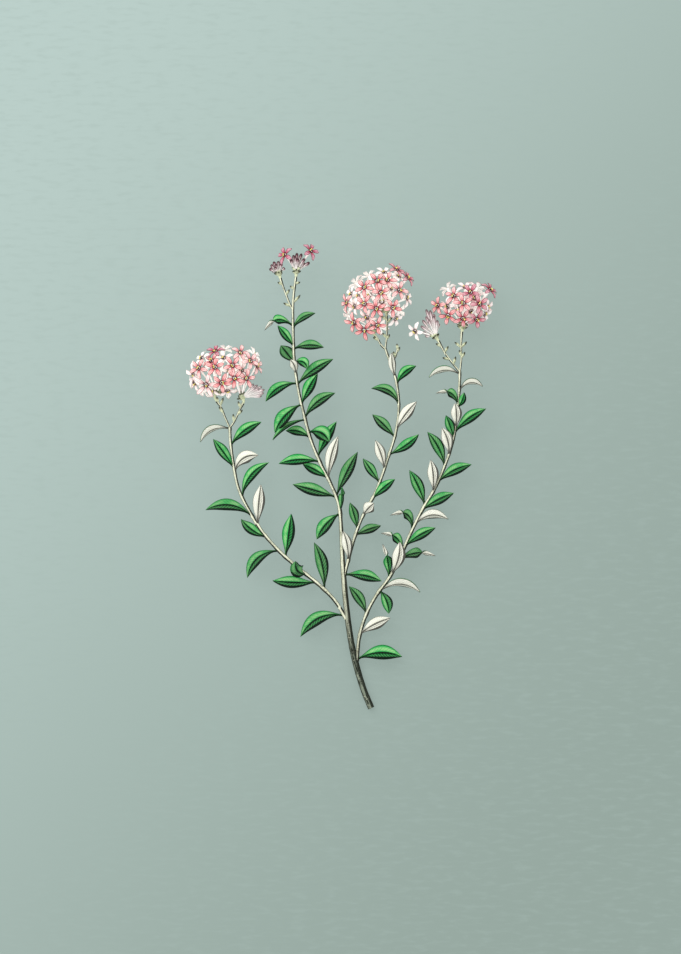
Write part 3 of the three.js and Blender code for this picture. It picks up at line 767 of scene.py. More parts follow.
@dataclass(frozen=True)
class BudSkin(Finish):
    """Closed flowers: white with pink folds and dark rose tips, with a painted glow."""

    white: str = "FFFAF6"
    pink: str = "C98F9A"
    tip: str = "2A1016"
    # painted glow that lightens them in shade
    glow: float = 0.1

    def painted(self, shader: Shader) -> bpy.types.Material:
        """Paints it along its length, with the folds of the petals round the top.

        Args:
            shader: the node tree of the material.

        Returns:
            The material.
        """
        folds = (shader.across * 1.25 + shader.along * 0.5).wave().step(0.55, 0.88)
        fleck = shader.mottle(600.0, 3.0)
        tint = shader.along.step(0.5, 0.95) * (0.15 + fleck * 0.5 + shader.shade * 0.5)
        colour = shader.mix(tint + shader.shade * 0.1, self.white, self.pink)
        dark = shader.along.step(0.82, 1.0) * (0.4 + shader.tone * 0.5)
        dark = dark + folds * shader.along.step(0.1, 0.6) * (0.5 + shader.shade * 1.1)
        dark = dark + shader.along.step(0.62, 0.95) * shader.shade * 0.9
        colour = shader.mix(dark.held() * 0.9, colour, self.tip)
        return shader.finish(colour, 0.55, folds * -1.0 + fleck * 0.3, 0.00015,
                             glow=self.glow, **FAINT_SHINE)


@dataclass(frozen=True)
class Down(Finish):
    """Short pale hairs."""

    pale: str = "F3F0DE"
    shadow: str = "B9B495"

    def painted(self, shader: Shader) -> bpy.types.Material:
        """Paints a hair pale, with duller flecks.

        Args:
            shader: the node tree of the material.

        Returns:
            The material.
        """
        fleck = shader.mottle(500.0, 1.0)
        colour = shader.mix(fleck, self.pale, self.shadow)
        return shader.finish(colour, 0.7, fleck, 0.00002, Sheen_Weight=0.3)


@dataclass(frozen=True)
class Paper(Finish):
    """The plain pale surface, lit a little from within, with painted shade to the lower right."""

    pale: str = "A5B7B2"
    dusk: str = "879790"
    grain: str = "95A6A0"
    glow: float = 0.86
    held_back: float = 0.65

    def painted(self, shader: Shader) -> bpy.types.Material:
        """Paints it nearly even, with painted shade towards the lower right and a faint grain along
        X.

        Args:
            shader: the node tree of the material.

        Returns:
            The material.
        """
        fibres = shader.mottle(420.0, 3.0, (0.25, 1.0, 1.0))
        x, y, _ = shader.split(shader.make("ShaderNodeTexCoord", {}, {}, "Object"))
        # painted shade, darker towards the lower right
        share = (x * 1.2 - y * 1.05 + 0.5).step(-0.05, 0.92)
        colour = shader.mix(share, self.pale, self.dusk)
        colour = shader.mix(fibres.step(0.45, 0.75) * 0.3, colour, self.grain)
        shader.finish(colour, 0.95, fibres, 0.00005, glow=self.glow, **FAINT_SHINE)
        # the base colour is held back, so that the glow from within makes up the rest and the
        # floor's shadows stay faint
        base = shader.mix(self.held_back, colour, "000000")
        shader.tree.links.new(base.socket, shader.surface.inputs["Base Color"])
        return shader.material


@dataclass(frozen=True)
class Spot:
    """Where a point of a piece goes and what its finish knows about it.

    Attributes:
        place: the point, in millimetres on the layout.
        pattern: its place across, along and round, for what the finish draws.
        tone: age or depth of colour, from 0 to 1.
        shade: how far it is turned from the light, or a share of mauve.
    """

    place: Vector
    pattern: Row
    tone: float = 0.0
    shade: float = 0.0


Rule = Callable[[float, float], Spot]


class Piece:
    """One object under construction: its mesh, its point attributes and its finishes."""

    def __init__(self, node: str, kind: str, slot: Slot, finishes: Sequence[Finish]) -> None:
        """Starts an empty piece.

        Args:
            node: the node of the part that it stands for.
            kind: what it is, the second half of its name.
            slot: its material slot; not used.
            finishes: what its faces wear, by their numbers.
        """
        self.node = node
        self.name = f"{node}_{kind}"
        self.slot = slot
        self.finishes = finishes
        self.mesh = bmesh.new()
        self.wall = 0.0

    def lay(self, part: bmesh.types.BMesh, spots: Dict[int, Spot], finish: int,
            round_body: bool = True) -> None:
        """Puts a small mesh in its place and adds it to the piece.

        Args:
            part: the mesh, which is used up.
            spots: for each of its points, where it goes.
            finish: number of the finish that its faces wear.
            round_body: whether it is a body whose faces are turned outwards.
        """
        pattern = part.verts.layers.float_vector.new("pattern")
        tone = part.verts.layers.float.new("tone")
        shade = part.verts.layers.float.new("shade")
        for vert in part.verts:
            spot = spots[vert.index]
            vert.co = spot.place
            vert[pattern] = spot.pattern
            vert[tone] = spot.tone
            vert[shade] = spot.shade
        # The points at a leaf's tip become one
        bmesh.ops.remove_doubles(part, verts=part.verts, dist=WELD)
        if round_body:
            bmesh.ops.recalc_face_normals(part, faces=part.faces)
        for face in part.faces:
            face.smooth = True
            face.material_index = finish
        holder = bpy.data.meshes.new("part")
        part.to_mesh(holder)
        part.free()
        self.mesh.from_mesh(holder)
        bpy.data.meshes.remove(holder)

    def blade(self, columns: int, rows: int, rule: Rule, finish: int) -> None:
        """Adds an open blade.

        Args:
            columns: faces across it.
            rows: faces along it.
            rule: gives each point's spot from -1 to 1 across and 0 to 1 along.
            finish: number of its finish.
        """
        part = bmesh.new()
        bmesh.ops.create_grid(part, x_segments=columns, y_segments=rows, size=1.0)
        part.verts.index_update()
        spots = {v.index: rule(v.co.x, v.co.y / 2 + 0.5) for v in part.verts}
        self.lay(part, spots, finish, round_body=False)

    def tube(self, sides: int, rings: int, rule: Rule, finish: int, closed: bool = True) -> None:
        """Adds a tube.

        Args:
            sides: faces round it.
            rings: faces along it.
            rule: gives each point's spot from the angle round and 0 to 1 along.
            finish: number of its finish.
            closed: whether its ends are closed and its faces are turned outwards.
        """
        part = bmesh.new()
        bmesh.ops.create_cone(part, cap_ends=closed, segments=sides, radius1=1, radius2=1, depth=1)
        ribs = [e for e in part.edges if abs(e.verts[0].co.z - e.verts[1].co.z) > 0.5]
        if rings > 1:
            bmesh.ops.subdivide_edges(part, edges=ribs, cuts=rings - 1)
        part.verts.index_update()
        spots = {v.index: rule(math.atan2(v.co.y, v.co.x), v.co.z + 0.5) for v in part.verts}
        self.lay(part, spots, finish, round_body=closed)

    def grain(self, radius: Vector, middle: Vector, turn: Matrix, finish: int) -> None:
        """Adds a small egg-shaped grain.

        Args:
            radius: its three half sizes.
            middle: its place.
            turn: its turn.
            finish: number of its finish.
        """
        part = bmesh.new()
        bmesh.ops.create_icosphere(part, subdivisions=1, radius=1)
        part.verts.index_update()
        spots = {}
        for vert in part.verts:
            size = Vector((vert.co.x * radius.x, vert.co.y * radius.y, vert.co.z * radius.z))
            spots[vert.index] = Spot(middle + turn @ size, (vert.co.x, vert.co.z, 0.0))
        self.lay(part, spots, finish)

    def done(self) -> bpy.types.Object:
        """Makes the object and ties it to the part.

        Returns:
            The object, at the origin, with its place in its mesh.
        """
        for vert in self.mesh.verts:
            vert.co.z = max(vert.co.z, FLOOR_GAP)
        bmesh.ops.scale(self.mesh, vec=Vector((1, 1, 1)) * SCALE, verts=self.mesh.verts)
        mesh = bpy.data.meshes.new(self.name)
        self.mesh.to_mesh(mesh)
        self.mesh.free()
        for finish in self.finishes:
            mesh.materials.append(finish.material())
        made = bpy.data.objects.new(self.name, mesh)
        bpy.context.scene.collection.objects.link(made)
        if self.wall:
            wall = made.modifiers.new("wall", "SOLIDIFY")
            wall.thickness = self.wall * SCALE
            wall.offset = -1
            wall.material_offset = 1
        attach(made, "root")
        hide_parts(self.node)
        log.info("%s: %d faces", self.name, len(mesh.polygons))
        return made


LEAF_SIDES = (LeafFace("leaf_face"), LeafBack("leaf_back"))
CUPS = (Cup("cup"), Cup("cup_back", pale="E9ECCB"))


def dark_side(outward: Vector) -> float:
    """How far a direction is turned from the light, from 0 to 1."""
    return 0.5 - 0.5 * max(-1.0, min(1.0, outward.normalized().dot(LIGHT_FROM)))


@dataclass(frozen=True)
class Leaf:
    """One lance-shaped leaf or bract.

    Attributes:
        foot: where it leaves its stem.
        heading: the way it points, in radians round the layout.
        length: foot to tip.
        width: width of the blade.
        bow: how far its middle bends to the left.
        rise: how much higher than its foot its tip is.
        arch: how far its middle rises.
        turn: turn about its midrib, in degrees.
        twist: further turn of its curled tip, in degrees.
        tone: its age, from 0 to 1.
        stalk: width of its stalk.
    """

    foot: Vector
    heading: float
    length: float
    width: float
    bow: float
    rise: float
    arch: float
    turn: float
    twist: float
    tone: float = 0.3
    stalk: float = PETIOLE_WIDTH

    def midrib(self) -> Midrib:
        """Works out the bend of the leaf.

        Returns:
            The line of its midrib.
        """
        forward = Vector((math.cos(self.heading), math.sin(self.heading), 0))
        left = Vector((-forward.y, forward.x, 0))
        tip = self.foot + forward * self.length + Vector((0, 0, self.rise))
        bend = (self.foot + tip) / 2 + left * (2 * self.bow) + Vector((0, 0, 2 * self.arch))
        return Midrib(self.foot, bend, tip)

    def half_width(self, along: float) -> float:
        """Works out half the width of the leaf.

        Args:
            along: 0 at its foot to 1 at its tip.

        Returns:
            Half the width there.
        """
        blade = min(max((along - PETIOLE_SHARE) / (1 - PETIOLE_SHARE), 0.0), 1.0)
        swell = max(math.sin(math.pi * blade ** WIDEST), 0.0)
        curl = CURL_NARROWING * smooth(*CURL, along) if self.twist else 0.0
        return self.stalk / 2 * (1 - along) + self.width / 2 * swell ** SLENDER * (1 - curl)

    def grow(self, piece: Piece, columns: int, rows: int) -> None:
        """Adds the leaf to a piece.

        Args:
            piece: takes the blade.
            columns: faces across it.
            rows: faces along it.
        """
        rib = self.midrib()
        wavy = noise.noise(self.foot * 0.37) * 0.5

        def rule(across: float, along: float) -> Spot:
            """Places a point of the blade.

            Args:
                across: -1 to 1 across the leaf.
                along: 0 to 1 along it.

            Returns:
                The point's spot.
            """
            up, side = cross_axes(rib.tangent(along))
            lean = 1 if side.y > 0 else -1
            angle = math.radians(self.turn + self.twist * smooth(*CURL, along)) * lean
            face = up * math.cos(angle) + side * math.sin(angle)
            out = side * math.cos(angle) - up * math.sin(angle)
            half = self.half_width(along)
            reach = -across
            lift = abs(reach) ** 1.4 * half * LEAF_FOLD
            lift -= LEAF_GROOVE if abs(reach) < 0.1 else 0.0
            wave = math.sin(along * 9 + self.foot.x) * half * LEAF_WAVE
            lift += wavy * abs(reach) ** 2 * wave
            place = rib.point(along) + out * (reach * half) + face * (lift + LEAF_THICKNESS / 2)
            # shade says which half is turned from the light, for the blade's painted shade
            shade = 0.5 if abs(reach) < 0.05 else dark_side(out * reach)
            at_tip = along > 0.999
            pattern = (0.0 if at_tip else across, along, self.length)
            return Spot(place, pattern, self.tone, shade)

        piece.blade(columns, rows, rule, 0)


@dataclass
class LeafyStem:
    """A stem with its leaves, flower stalks, bracts and down.

    Attributes:
        name: the part's node.
        path: x, y, z and radius of points of the stem, from its foot.
        leaves: level of the foot, heading in degrees, length, width, bow to the left, rise of
            the tip, arch, turn and twist of each leaf.
        stalks: for each flower stalk its points, and its bracts as place along it from 0 to 1,
            heading and length.
        bracts: level, heading and length of each bract on the stem itself.
        woody: levels where its young skin ends and where it is all wood.
        cut_foot: whether its foot is cut on a slant.
        sides: faces round the stem.
        rings: faces along it.
        hairs: number of hairs on it.
        stalk_hairs: number of hairs on each flower stalk.
    """

    name: str
    path: Sequence[Row]
    leaves: Sequence[Row]
    stalks: Sequence[Tuple[Sequence[Row], Sequence[Row]]]
    bracts: Sequence[Row] = ()
    woody: Tuple[float, float] = (-60, -140)
    cut_foot: bool = False
    sides: int = 14
    rings: int = 70
    hairs: int = 260
    stalk_hairs: int = 40

    def __post_init__(self) -> None:
        """Works out the stem's middle line and the levels of its leaves."""
        self.curve = StemCurve(self.path)
        self.knots = [row[0] for row in self.leaves]
        self.chance = random.Random(f"{SEED} {self.name}")

    def radius(self, along: float) -> float:
        """Works out the radius of the stem, with a swelling at each leaf.

        Args:
            along: 0 at its foot to 1 at its top.

        Returns:
            The radius there.
        """
        place = along * (len(self.path) - 1)
        index = min(int(place), len(self.path) - 2)
        share = place - index
        plain = self.path[index][3] * (1 - share) + self.path[index + 1][3] * share
        level = self.curve.point(along).y
        knot = max(math.exp(-((level - k) / KNOT_HEIGHT) ** 2) for k in self.knots)
        uneven = 0.06 * noise.noise(Vector((level * 0.4, 0, 0)))
        return plain * (1 + KNOT_SWELLING * knot + uneven)

    def age(self, level: float) -> float:
        """How woody the stem is at a level, from 0 to 1."""
        return smooth(*self.woody, level)

    def skin(self, curve: StemCurve, radius: Callable[[float], float]) -> Rule:
        """Rule of a tube along a line.

        Args:
            curve: middle of the tube.
            radius: its radius at 0 to 1 along it.

        Returns:
            The rule.
        """
        def rule(angle: float, along: float) -> Spot:
            """Places a point of the bark.

            Args:
                angle: where it is round the stem.
                along: where it is along the stem, from 0 to 1.

            Returns:
                The point's spot.
            """
            tangent = curve.tangent(along)
            outward = round_line(tangent, angle)
            middle = curve.point(along)
            place = middle + outward * radius(along)
            # shade runs from -1 at the edge towards the light to 1 at the edge turned from it, for
            # the bark's painted shade
            aside = Vector((tangent.y, -tangent.x, 0)).normalized()
            shade = outward.dot(aside) * (-1 if aside.dot(LIGHT_FROM) > 0 else 1)
            pattern = (math.cos(angle) * 1.5, math.sin(angle) * 1.5, middle.y)
            return Spot(place, pattern, self.age(middle.y), shade)

        return rule

    def wood(self) -> None:
        """Builds the stem and its flower stalks."""
        piece = Piece(self.name, "wood", Slot.LEAF, (Bark("bark"), CutWood("cut_wood")))
        piece.tube(self.sides, self.rings, self.skin(self.curve, self.radius), 0)
        for path, _ in self.stalks:
            piece.tube(12, 16, self.skin(StemCurve(path), self.stalk_radius), 0)
        if self.cut_foot:
            self.cut(piece.mesh)
        piece.done()

    @staticmethod
    def stalk_radius(along: float) -> float:
        """Radius of a flower stalk at 0 to 1 along it, widest at its top."""
        return STALK_RADIUS * (0.85 + 0.4 * smooth(0.7, 1.0, along))

    def cut(self, mesh: bmesh.types.BMesh) -> None:
        """Cuts the foot of the stem on a slant and closes it with bare wood.

        Args:
            mesh: the stem's mesh.
        """
        away = Vector((math.sin(CUT_SLANT), -math.cos(CUT_SLANT), 0))
        everything = mesh.verts[:] + mesh.edges[:] + mesh.faces[:]
        made = bmesh.ops.bisect_plane(mesh, geom=everything, plane_co=CUT_PLACE, plane_no=away,
                                      clear_outer=True)
        edges = [e for e in made["geom_cut"] if isinstance(e, bmesh.types.BMEdge)]
        lid = bmesh.ops.edgeloop_fill(mesh, edges=edges, mat_nr=1)["faces"]
        ring = bmesh.ops.inset_region(mesh, faces=lid, thickness=CUT_RIM)
        tone = mesh.verts.layers.float["tone"]
        for face in lid + ring["faces"]:
            face.material_index = 1
            face.smooth = False
        for face in lid:
            for vert in face.verts:
                vert[tone] = 0.4

    def foliage(self) -> None:
        """Builds the leaves."""
        piece = Piece(self.name, "leaves", Slot.LEAF, LEAF_SIDES)
        piece.wall = LEAF_THICKNESS
        for row in self.leaves:
            level, heading, length, width, bow, rise, arch, turn, twist = row
            foot = self.curve.point(self.curve.at_level(level))
            tone = smooth(60, -130, level) * 0.25 + self.chance.uniform(0, 0.75)
            Leaf(foot, math.radians(heading), length, width, bow, rise, arch, turn, twist,
                 tone).grow(piece, 8, 22)
        piece.done()

    def scales(self) -> None:
        """Builds the bracts on the stem and on its flower stalks."""
        piece = Piece(self.name, "bracts", Slot.LEAF, CUPS)
        piece.wall = LEAF_THICKNESS
        feet = [(self.curve.point(self.curve.at_level(row[0])), row) for row in self.bracts]
        for path, rows in self.stalks:
            curve = StemCurve(path)
            feet += [(curve.point(row[0]), row) for row in rows]
        for foot, (_, heading, length) in feet:
            Leaf(foot, math.radians(heading), length, BRACT_WIDTH, 0, 1, 0.4, UPPER, 0,
                 stalk=BRACT_WIDTH / 2).grow(piece, 4, 8)
        piece.done()

    def down(self) -> None:
        """Builds the short hairs on the young part of the stem and on its stalks."""
        piece = Piece(self.name, "down", Slot.LEAF, (Down("down"),))
        for _ in range(self.hairs):
            along = self.chance.uniform(0.35, 0.98)
            self.hair(piece, self.curve, self.radius(along), along)
        for path, _ in self.stalks:
            stalk = StemCurve(path)
            for _ in range(self.stalk_hairs):
                self.hair(piece, stalk, STALK_RADIUS, self.chance.uniform(0.1, 0.98))
        piece.done()

    def hair(self, piece: Piece, curve: StemCurve, radius: float, along: float) -> None:
        """Adds one hair to a piece.

        Args:
            piece: takes the hair.
            curve: middle of the stem.
            radius: the stem's radius there.
            along: 0 to 1 along the stem.
        """
        tangent = curve.tangent(along)
        up, side = cross_axes(tangent)
        angle = self.chance.uniform(0, math.tau)
        outward = side * math.cos(angle) + up * math.sin(angle)
        foot = curve.point(along) + outward * radius * 0.9
        lean = (outward + tangent * self.chance.uniform(0.1, 0.9)).normalized()
        tip = foot + lean * self.chance.uniform(*HAIR_LENGTHS)

        def rule(turn: float, height: float) -> Spot:
            """Places a point of the hair.

            Args:
                turn: where it is round the hair.
                height: where it is along the hair, from 0 to 1.

            Returns:
                The point's spot.
            """
            thin = HAIR_RADIUS * (1 - 0.8 * height)
            return Spot(foot.lerp(tip, height) - round_line(lean, turn) * thin, (0, height, 0))

        piece.tube(3, 1, rule, 0)

    def build(self) -> None:
        """Builds every piece of the stem."""
        self.wood()
        self.foliage()
        self.scales()
        self.down()


@dataclass(frozen=True)
class Calyx:
    """The cup at the foot of a flower, with five points.

    Attributes:
        height: height of its wall.
        points: height of its points above it.
        radius: radius at its foot.
        flare: how much wider its rim is.
        wide_at: place along it where it is that wide.
        darkness: how dark its rim is, and how much darker its points are.
    """

    height: float
    points: float
    radius: float
    flare: float
    wide_at: float
    darkness: Tuple[float, float]

    def grow(self, piece: Piece, root: Vector, direction: Vector, finish: int) -> None:
        """Adds the cup to a piece.

        Args:
            piece: takes the cup.
            root: foot of the flower.
            direction: the way it grows.
            finish: number of its finish.
        """
        def rule(turn: float, along: float) -> Spot:
            """Places a point of the cup.

            Args:
                turn: where it is round the cup.
                along: where it is along the cup, from 0 to 1.

            Returns:
                The point's spot.
            """
            tooth = 0.5 + 0.5 * math.cos(turn * 5) if along > 0.99 else 0.0
            height = along * self.height + tooth * self.points
            radius = self.radius + self.flare * smooth(0.0, self.wide_at, along)
            dark = self.darkness[0] + self.darkness[1] * tooth
            return Spot(root + direction * height + round_line(direction, turn) * radius,
                        (turn / math.tau * 4, along * dark, 0), 0.5, 0.0)

        piece.tube(10, 3, rule, finish)


FLORET_CUP = Calyx(2.2, 1.1, 0.45, 0.35, 0.7, (0.62, 0.38))
BUD_CUP = Calyx(1.0, 0.6, 0.42, 0.2, 0.6, (0.35, 0.3))


@dataclass(frozen=True)
class Floret:
    """One open flower: a tube, five petals, its anthers and its calyx.

    Attributes:
        root: foot of its tube.
        mouth: middle of its petals.
        facing: the way it faces.
        phase: direction of its first petal on its face.
        tone: depth of its pink.
        mauve: share of mauve.
        size: its size as a share of the usual one.
        seed: seed of its small unevenness.
    """

    root: Vector
    mouth: Vector
    facing: Vector
    phase: float
    tone: float
    mauve: float
    size: float
    seed: int

    def axes(self) -> Tuple[Vector, Vector]:
        """The floret's own directions across its face."""
        up, side = cross_axes(self.facing)
        return side, up

    def grow(self, corolla: Piece, middle: Piece) -> None:
        """Adds the floret to two pieces.

        Args:
            corolla: takes the tube and the petals.
            middle: takes the anthers and the calyx.
        """
        chance = random.Random(self.seed)
        self.tube(corolla)
        for number in range(5):
            angle = self.phase + number * math.tau / 5 + chance.uniform(-0.09, 0.09)
            self.petal(corolla, angle, chance.uniform(0.92, 1.08), chance.uniform(-0.4, 0.9))
        for number in range(3):
            angle = self.phase + 0.6 + number * 0.75 + chance.uniform(-0.3, 0.3)
            self.anther(middle, angle, chance.uniform(0.45, 1.1), chance.uniform(0.8, 1.4))
        FLORET_CUP.grow(middle, self.root, (self.mouth - self.root).normalized(), 0)

    def spread(self, angle: float, along: float, across: float, height: float) -> Vector:
        """Place on the floret's face.

        Args:
            angle: direction from the middle.
            along: distance from the middle.
            across: distance to the side of that direction.
            height: distance above the face.

        Returns:
            The place.
        """
        side, up = self.axes()
        return (self.mouth + side * (math.cos(angle) * along - math.sin(angle) * across)
                + up * (math.sin(angle) * along + math.cos(angle) * across)
                + self.facing * height)

    def tube(self, corolla: Piece) -> None:
        """Adds the tube, which widens to its mouth.

        Args:
            corolla: takes the tube.
        """
        side, up = self.axes()
        length = (self.mouth - self.root).length
        bend = (self.root + self.mouth) / 2 - self.facing * 0.12 * length
        line = Midrib(self.root, bend, self.mouth)

        def rule(angle: float, along: float) -> Spot:
            """Places a point of the tube.

            Args:
                angle: where it is round the tube.
                along: where it is along the tube, from 0 to 1.

            Returns:
                The point's spot.
            """
            radius = TUBE_RADIUS + (MOUTH_RADIUS - TUBE_RADIUS) * smooth(0.7, 1.0, along)
            ring = side * math.cos(angle) + up * math.sin(angle)
            pattern = (math.cos(angle), along * 4, math.sin(angle))
            return Spot(line.point(along) + ring * radius + self.facing * (0.3 * along ** 6),
                        pattern, self.tone, self.mauve)

        corolla.tube(8, 8, rule, 2, closed=False)

    def petal(self, corolla: Piece, angle: float, size: float, droop: float) -> None:
        """Adds one petal.

        Args:
            corolla: takes the petal.
            angle: its direction on the face.
            size: its length as a share of the usual one.
            droop: how much its tip bends back, in millimetres.
        """
        def rule(across: float, along: float) -> Spot:
            """Places a point of the petal.

            Args:
                across: -1 to 1 across the petal.
                along: 0 to 1 along it.

            Returns:
                The point's spot.
            """
            start = MOUTH_RADIUS * 0.75
            reach = start + (FLORET_RADIUS * self.size * size - start) * along
            # round at the tip
            reach -= 0.55 * abs(across) ** 2.2 * smooth(0.55, 1.0, along)
            # narrower at the foot and at the tip
            half = PETAL_WIDTH / 2 * (0.55 + 0.45 * smooth(0.0, 0.45, along))
            half *= 1 - 0.4 * smooth(0.72, 1.0, along)
            # arched, with raised edges and a drooping tip
            height = 0.55 * math.sin(along * math.pi * 0.75) - droop * along ** 3
            height += 0.28 * across ** 2 * half + 0.25 - 0.55 * smooth(0.7, 1.0, along)
            return Spot(self.spread(angle, reach, -across * half, height),
                        (across, along, 0.0), self.tone, self.mauve)

        corolla.blade(4, 7, rule, 0)

    def anther(self, middle: Piece, angle: float, out: float, height: float) -> None:
        """Adds one anther on its thread.

        Args:
            middle: takes them.
            angle: direction from the middle.
            out: distance from the middle.
            height: distance above the mouth.
        """
        top = self.spread(angle, out, 0, height)
        foot = self.spread(angle, 0.35, 0, -0.6)
        line = Midrib(foot, self.spread(angle, 0.4, 0, height * 0.6), top)
        aim = line.tangent(0.9)
        up, side = cross_axes(aim)

        def rule(turn: float, along: float) -> Spot:
            """Places a point of the thread.

            Args:
                turn: where it is round the thread.
                along: where it is along the thread, from 0 to 1.

            Returns:
                The point's spot.
            """
            ring = round_line(aim, turn) * THREAD_RADIUS
            return Spot(line.point(along) + ring, (math.cos(turn), along * 0.3, 0))

        middle.tube(4, 3, rule, 2)
        turned = Matrix((side, up, line.tangent(1))).transposed()
        middle.grain(ANTHER_SIZE, top, turned, 1)


# Shares of a bud's radius and length, from its foot to its tip
BUD_OUTLINE = StemCurve([(0.38, 0, 0), (0.36, 0.25, 0), (0.45, 0.5, 0), (0.8, 0.66, 0),
                         (1.0, 0.78, 0), (0.85, 0.91, 0), (0.16, 1.0, 0)])


@dataclass(frozen=True)
class Bud:
    """A closed flower, club shaped, in its calyx.

    Attributes:
        root: foot of the flower.
        tip: top of the flower.
        tone: how dark its top is.
        mauve: share of mauve.
    """

    root: Vector
    tip: Vector
    tone: float
    mauve: float

    def grow(self, buds: Piece) -> None:
        """Adds the bud to a piece.

        Args:
            buds: takes the closed flower and its cup.
        """
        length = (self.tip - self.root).length
        direction = (self.tip - self.root).normalized()

        def rule(turn: float, along: float) -> Spot:
            """Places a point of the bud.

            Args:
                turn: where it is round the bud.
                along: where it is along its outline, from 0 to 1.

            Returns:
                The point's spot.
            """
            shape = BUD_OUTLINE.point(along)
            radius = shape.x * BUD_RADIUS * (1 + 0.08 * math.cos(turn * 5) * along)
            ring = round_line(direction, turn) * radius
            return Spot(self.root + direction * (shape.y * length) + ring,
                        (turn / math.tau * 4, shape.y, 0), self.tone, self.mauve)

        buds.tube(8, 10, rule, 0)
        BUD_CUP.grow(buds, self.root, direction, 1)


@dataclass
class FlowerHead:
    """A dome of florets and buds on short necks above their stalks.

    Attributes:
        name: the part's node.
        middle: middle of the dome.
        size: its three half sizes.
        roots: tops of the flower stalks that carry it.
        facing: florets that face the viewer, in the columns that stand above HEADS.
        behind: florets lower down, between those.
        rim: florets round the edge.
        under: number of florets on the underside.
        buds: x and y of the tip of each closed flower.
        mauve: share of mauve of the flowers whose row doesn't give it.
        slot: the record's material slot.
    """

    name: str
    middle: Row
    size: Row
    roots: Sequence[Row]
    facing: Sequence[Row] = ()
    behind: Sequence[Row] = ()
    rim: Sequence[Row] = ()
    under: int = 0
    buds: Sequence[Row] = ()
    mauve: float = 0.0
    slot: Slot = Slot.PETAL

    def __post_init__(self) -> None:
        """Works out the middle and the necks."""
        self.centre = Vector(self.middle)
        self.half = Vector(self.size)
        self.chance = random.Random(f"{SEED} {self.name}")
        self.necks = [Vector(root) + (self.centre - Vector(root)).normalized() * NECK_RADIUS
                      for root in self.roots]

    def root_of(self, target: Vector) -> Vector:
        """Place on the nearest neck that a flower grows from."""
        neck = min(self.necks, key=lambda place: (place - target).length)
        return neck.lerp(target, NECK_RADIUS / 3 / (neck - target).length)

    def dome_height(self, x: float, y: float, reach: float = 1.0, least: float = 0.06) -> float:
        """Works out the height of the dome above its middle.

        Args:
            x: place from left to right.
            y: place from below to above.
            reach: how much wider than the head the dome is.
            least: square of the lowest height, as a share of the highest.

        Returns:
            The height.
        """
        across = (x - self.centre.x) / self.half.x / reach
        along = (y - self.centre.y) / self.half.y / reach
        return self.half.z * math.sqrt(max(least, 1 - across ** 2 - along ** 2))

    def outward(self, mouth: Vector) -> Vector:
        """Direction from the middle, as on a round dome."""
        gap = mouth - self.centre
        return Vector((gap.x / self.half.x, gap.y / self.half.y, gap.z / self.half.z))

    def floret(self, mouth: Vector, facing: Vector, given: Sequence[float],
               plain: Sequence[float]) -> Floret:
        """Makes a floret of this head.

        Args:
            mouth: its middle.
            facing: the way it faces.
            given: its tone, the direction of a petal in degrees, its mauve and its size,
                as far as the layout gives them.
            plain: the same four, for what the layout leaves out.

        Returns:
            The floret.
        """
        tone, direction, mauve, size = tuple(given) + tuple(plain)[len(given):]
        facing = facing.normalized()
        up, side = cross_axes(facing)
        petal = Vector((math.cos(math.radians(direction)), math.sin(math.radians(direction)), 0))
        phase = math.atan2(petal.dot(up), petal.dot(side))
        seed = self.chance.randrange(10 ** 6)
        return Floret(self.root_of(mouth), mouth, facing, phase, tone, mauve, size, seed)

    def on_dome(self, row: Row, index: int, share: float) -> Floret:
        """Makes a floret on the upper side of the dome.

        Args:
            row: its row of the layout.
            index: number of the row.
            share: how high it stands, as a share of the dome.

        Returns:
            The floret.
        """
        x, y, *given = row
        mouth = Vector((x, y, self.centre.z + self.dome_height(x, y) * share))
        facing = self.outward(mouth).normalized() + Vector((0, 0, 0.9 * share))
        plain = (self.chance.uniform(0.0, 0.15), index * FLORET_TURN, self.mauve, 1.0)
        return self.floret(mouth, facing, given, plain)

    def on_rim(self, row: Row, index: int) -> Floret:
        """Makes a floret at the rim, where every other one stands lower.

        Args:
            row: its row of the layout.
            index: number of the row.

        Returns:
            The floret.
        """
        x, y, *given = row
        mouth = Vector((x, y, self.centre.z + RIM_HEIGHTS[index % 2]))
        inward = self.centre - mouth
        inward.z = 0
        mouth += inward.normalized() * RIM_INSET
        facing = self.outward(mouth)
        facing.z = RIM_TILTS[index % 2]
        plain = (self.chance.uniform(0.0, 0.2), index * FLORET_TURN + 60, self.mauve, 1.0)
        return self.floret(mouth, facing, given, plain)

    def on_underside(self, index: int) -> Floret:
        """Makes a floret below the dome.

        Args:
            index: its number.

        Returns:
            The floret.
        """
        angle = index * math.pi * (3 - math.sqrt(5))
        reach = math.sqrt((index + 0.5) / self.under) * UNDER_REACH
        x = self.centre.x + math.cos(angle) * reach * self.half.x
        y = self.centre.y + math.sin(angle) * reach * self.half.y
        mouth = Vector((x, y, self.centre.z - self.dome_height(x, y)))
        facing = self.outward(mouth).normalized() - Vector((0, 0, 0.5))
        return self.floret(mouth, facing, (), (0.5, index * FLORET_TURN, self.mauve, 1.0))

    def florets(self) -> List[Floret]:
        """Makes all open flowers.

        Returns:
            Those on the dome, at its rim and below it.
        """
        made = [self.on_dome(row, index, 1.0) for index, row in enumerate(self.facing)]
        made += [self.on_dome(row, index, BEHIND_HEIGHT) for index, row in enumerate(self.behind)]
        made += [self.on_rim(row, index) for index, row in enumerate(self.rim)]
        return made + [self.on_underside(index) for index in range(self.under)]

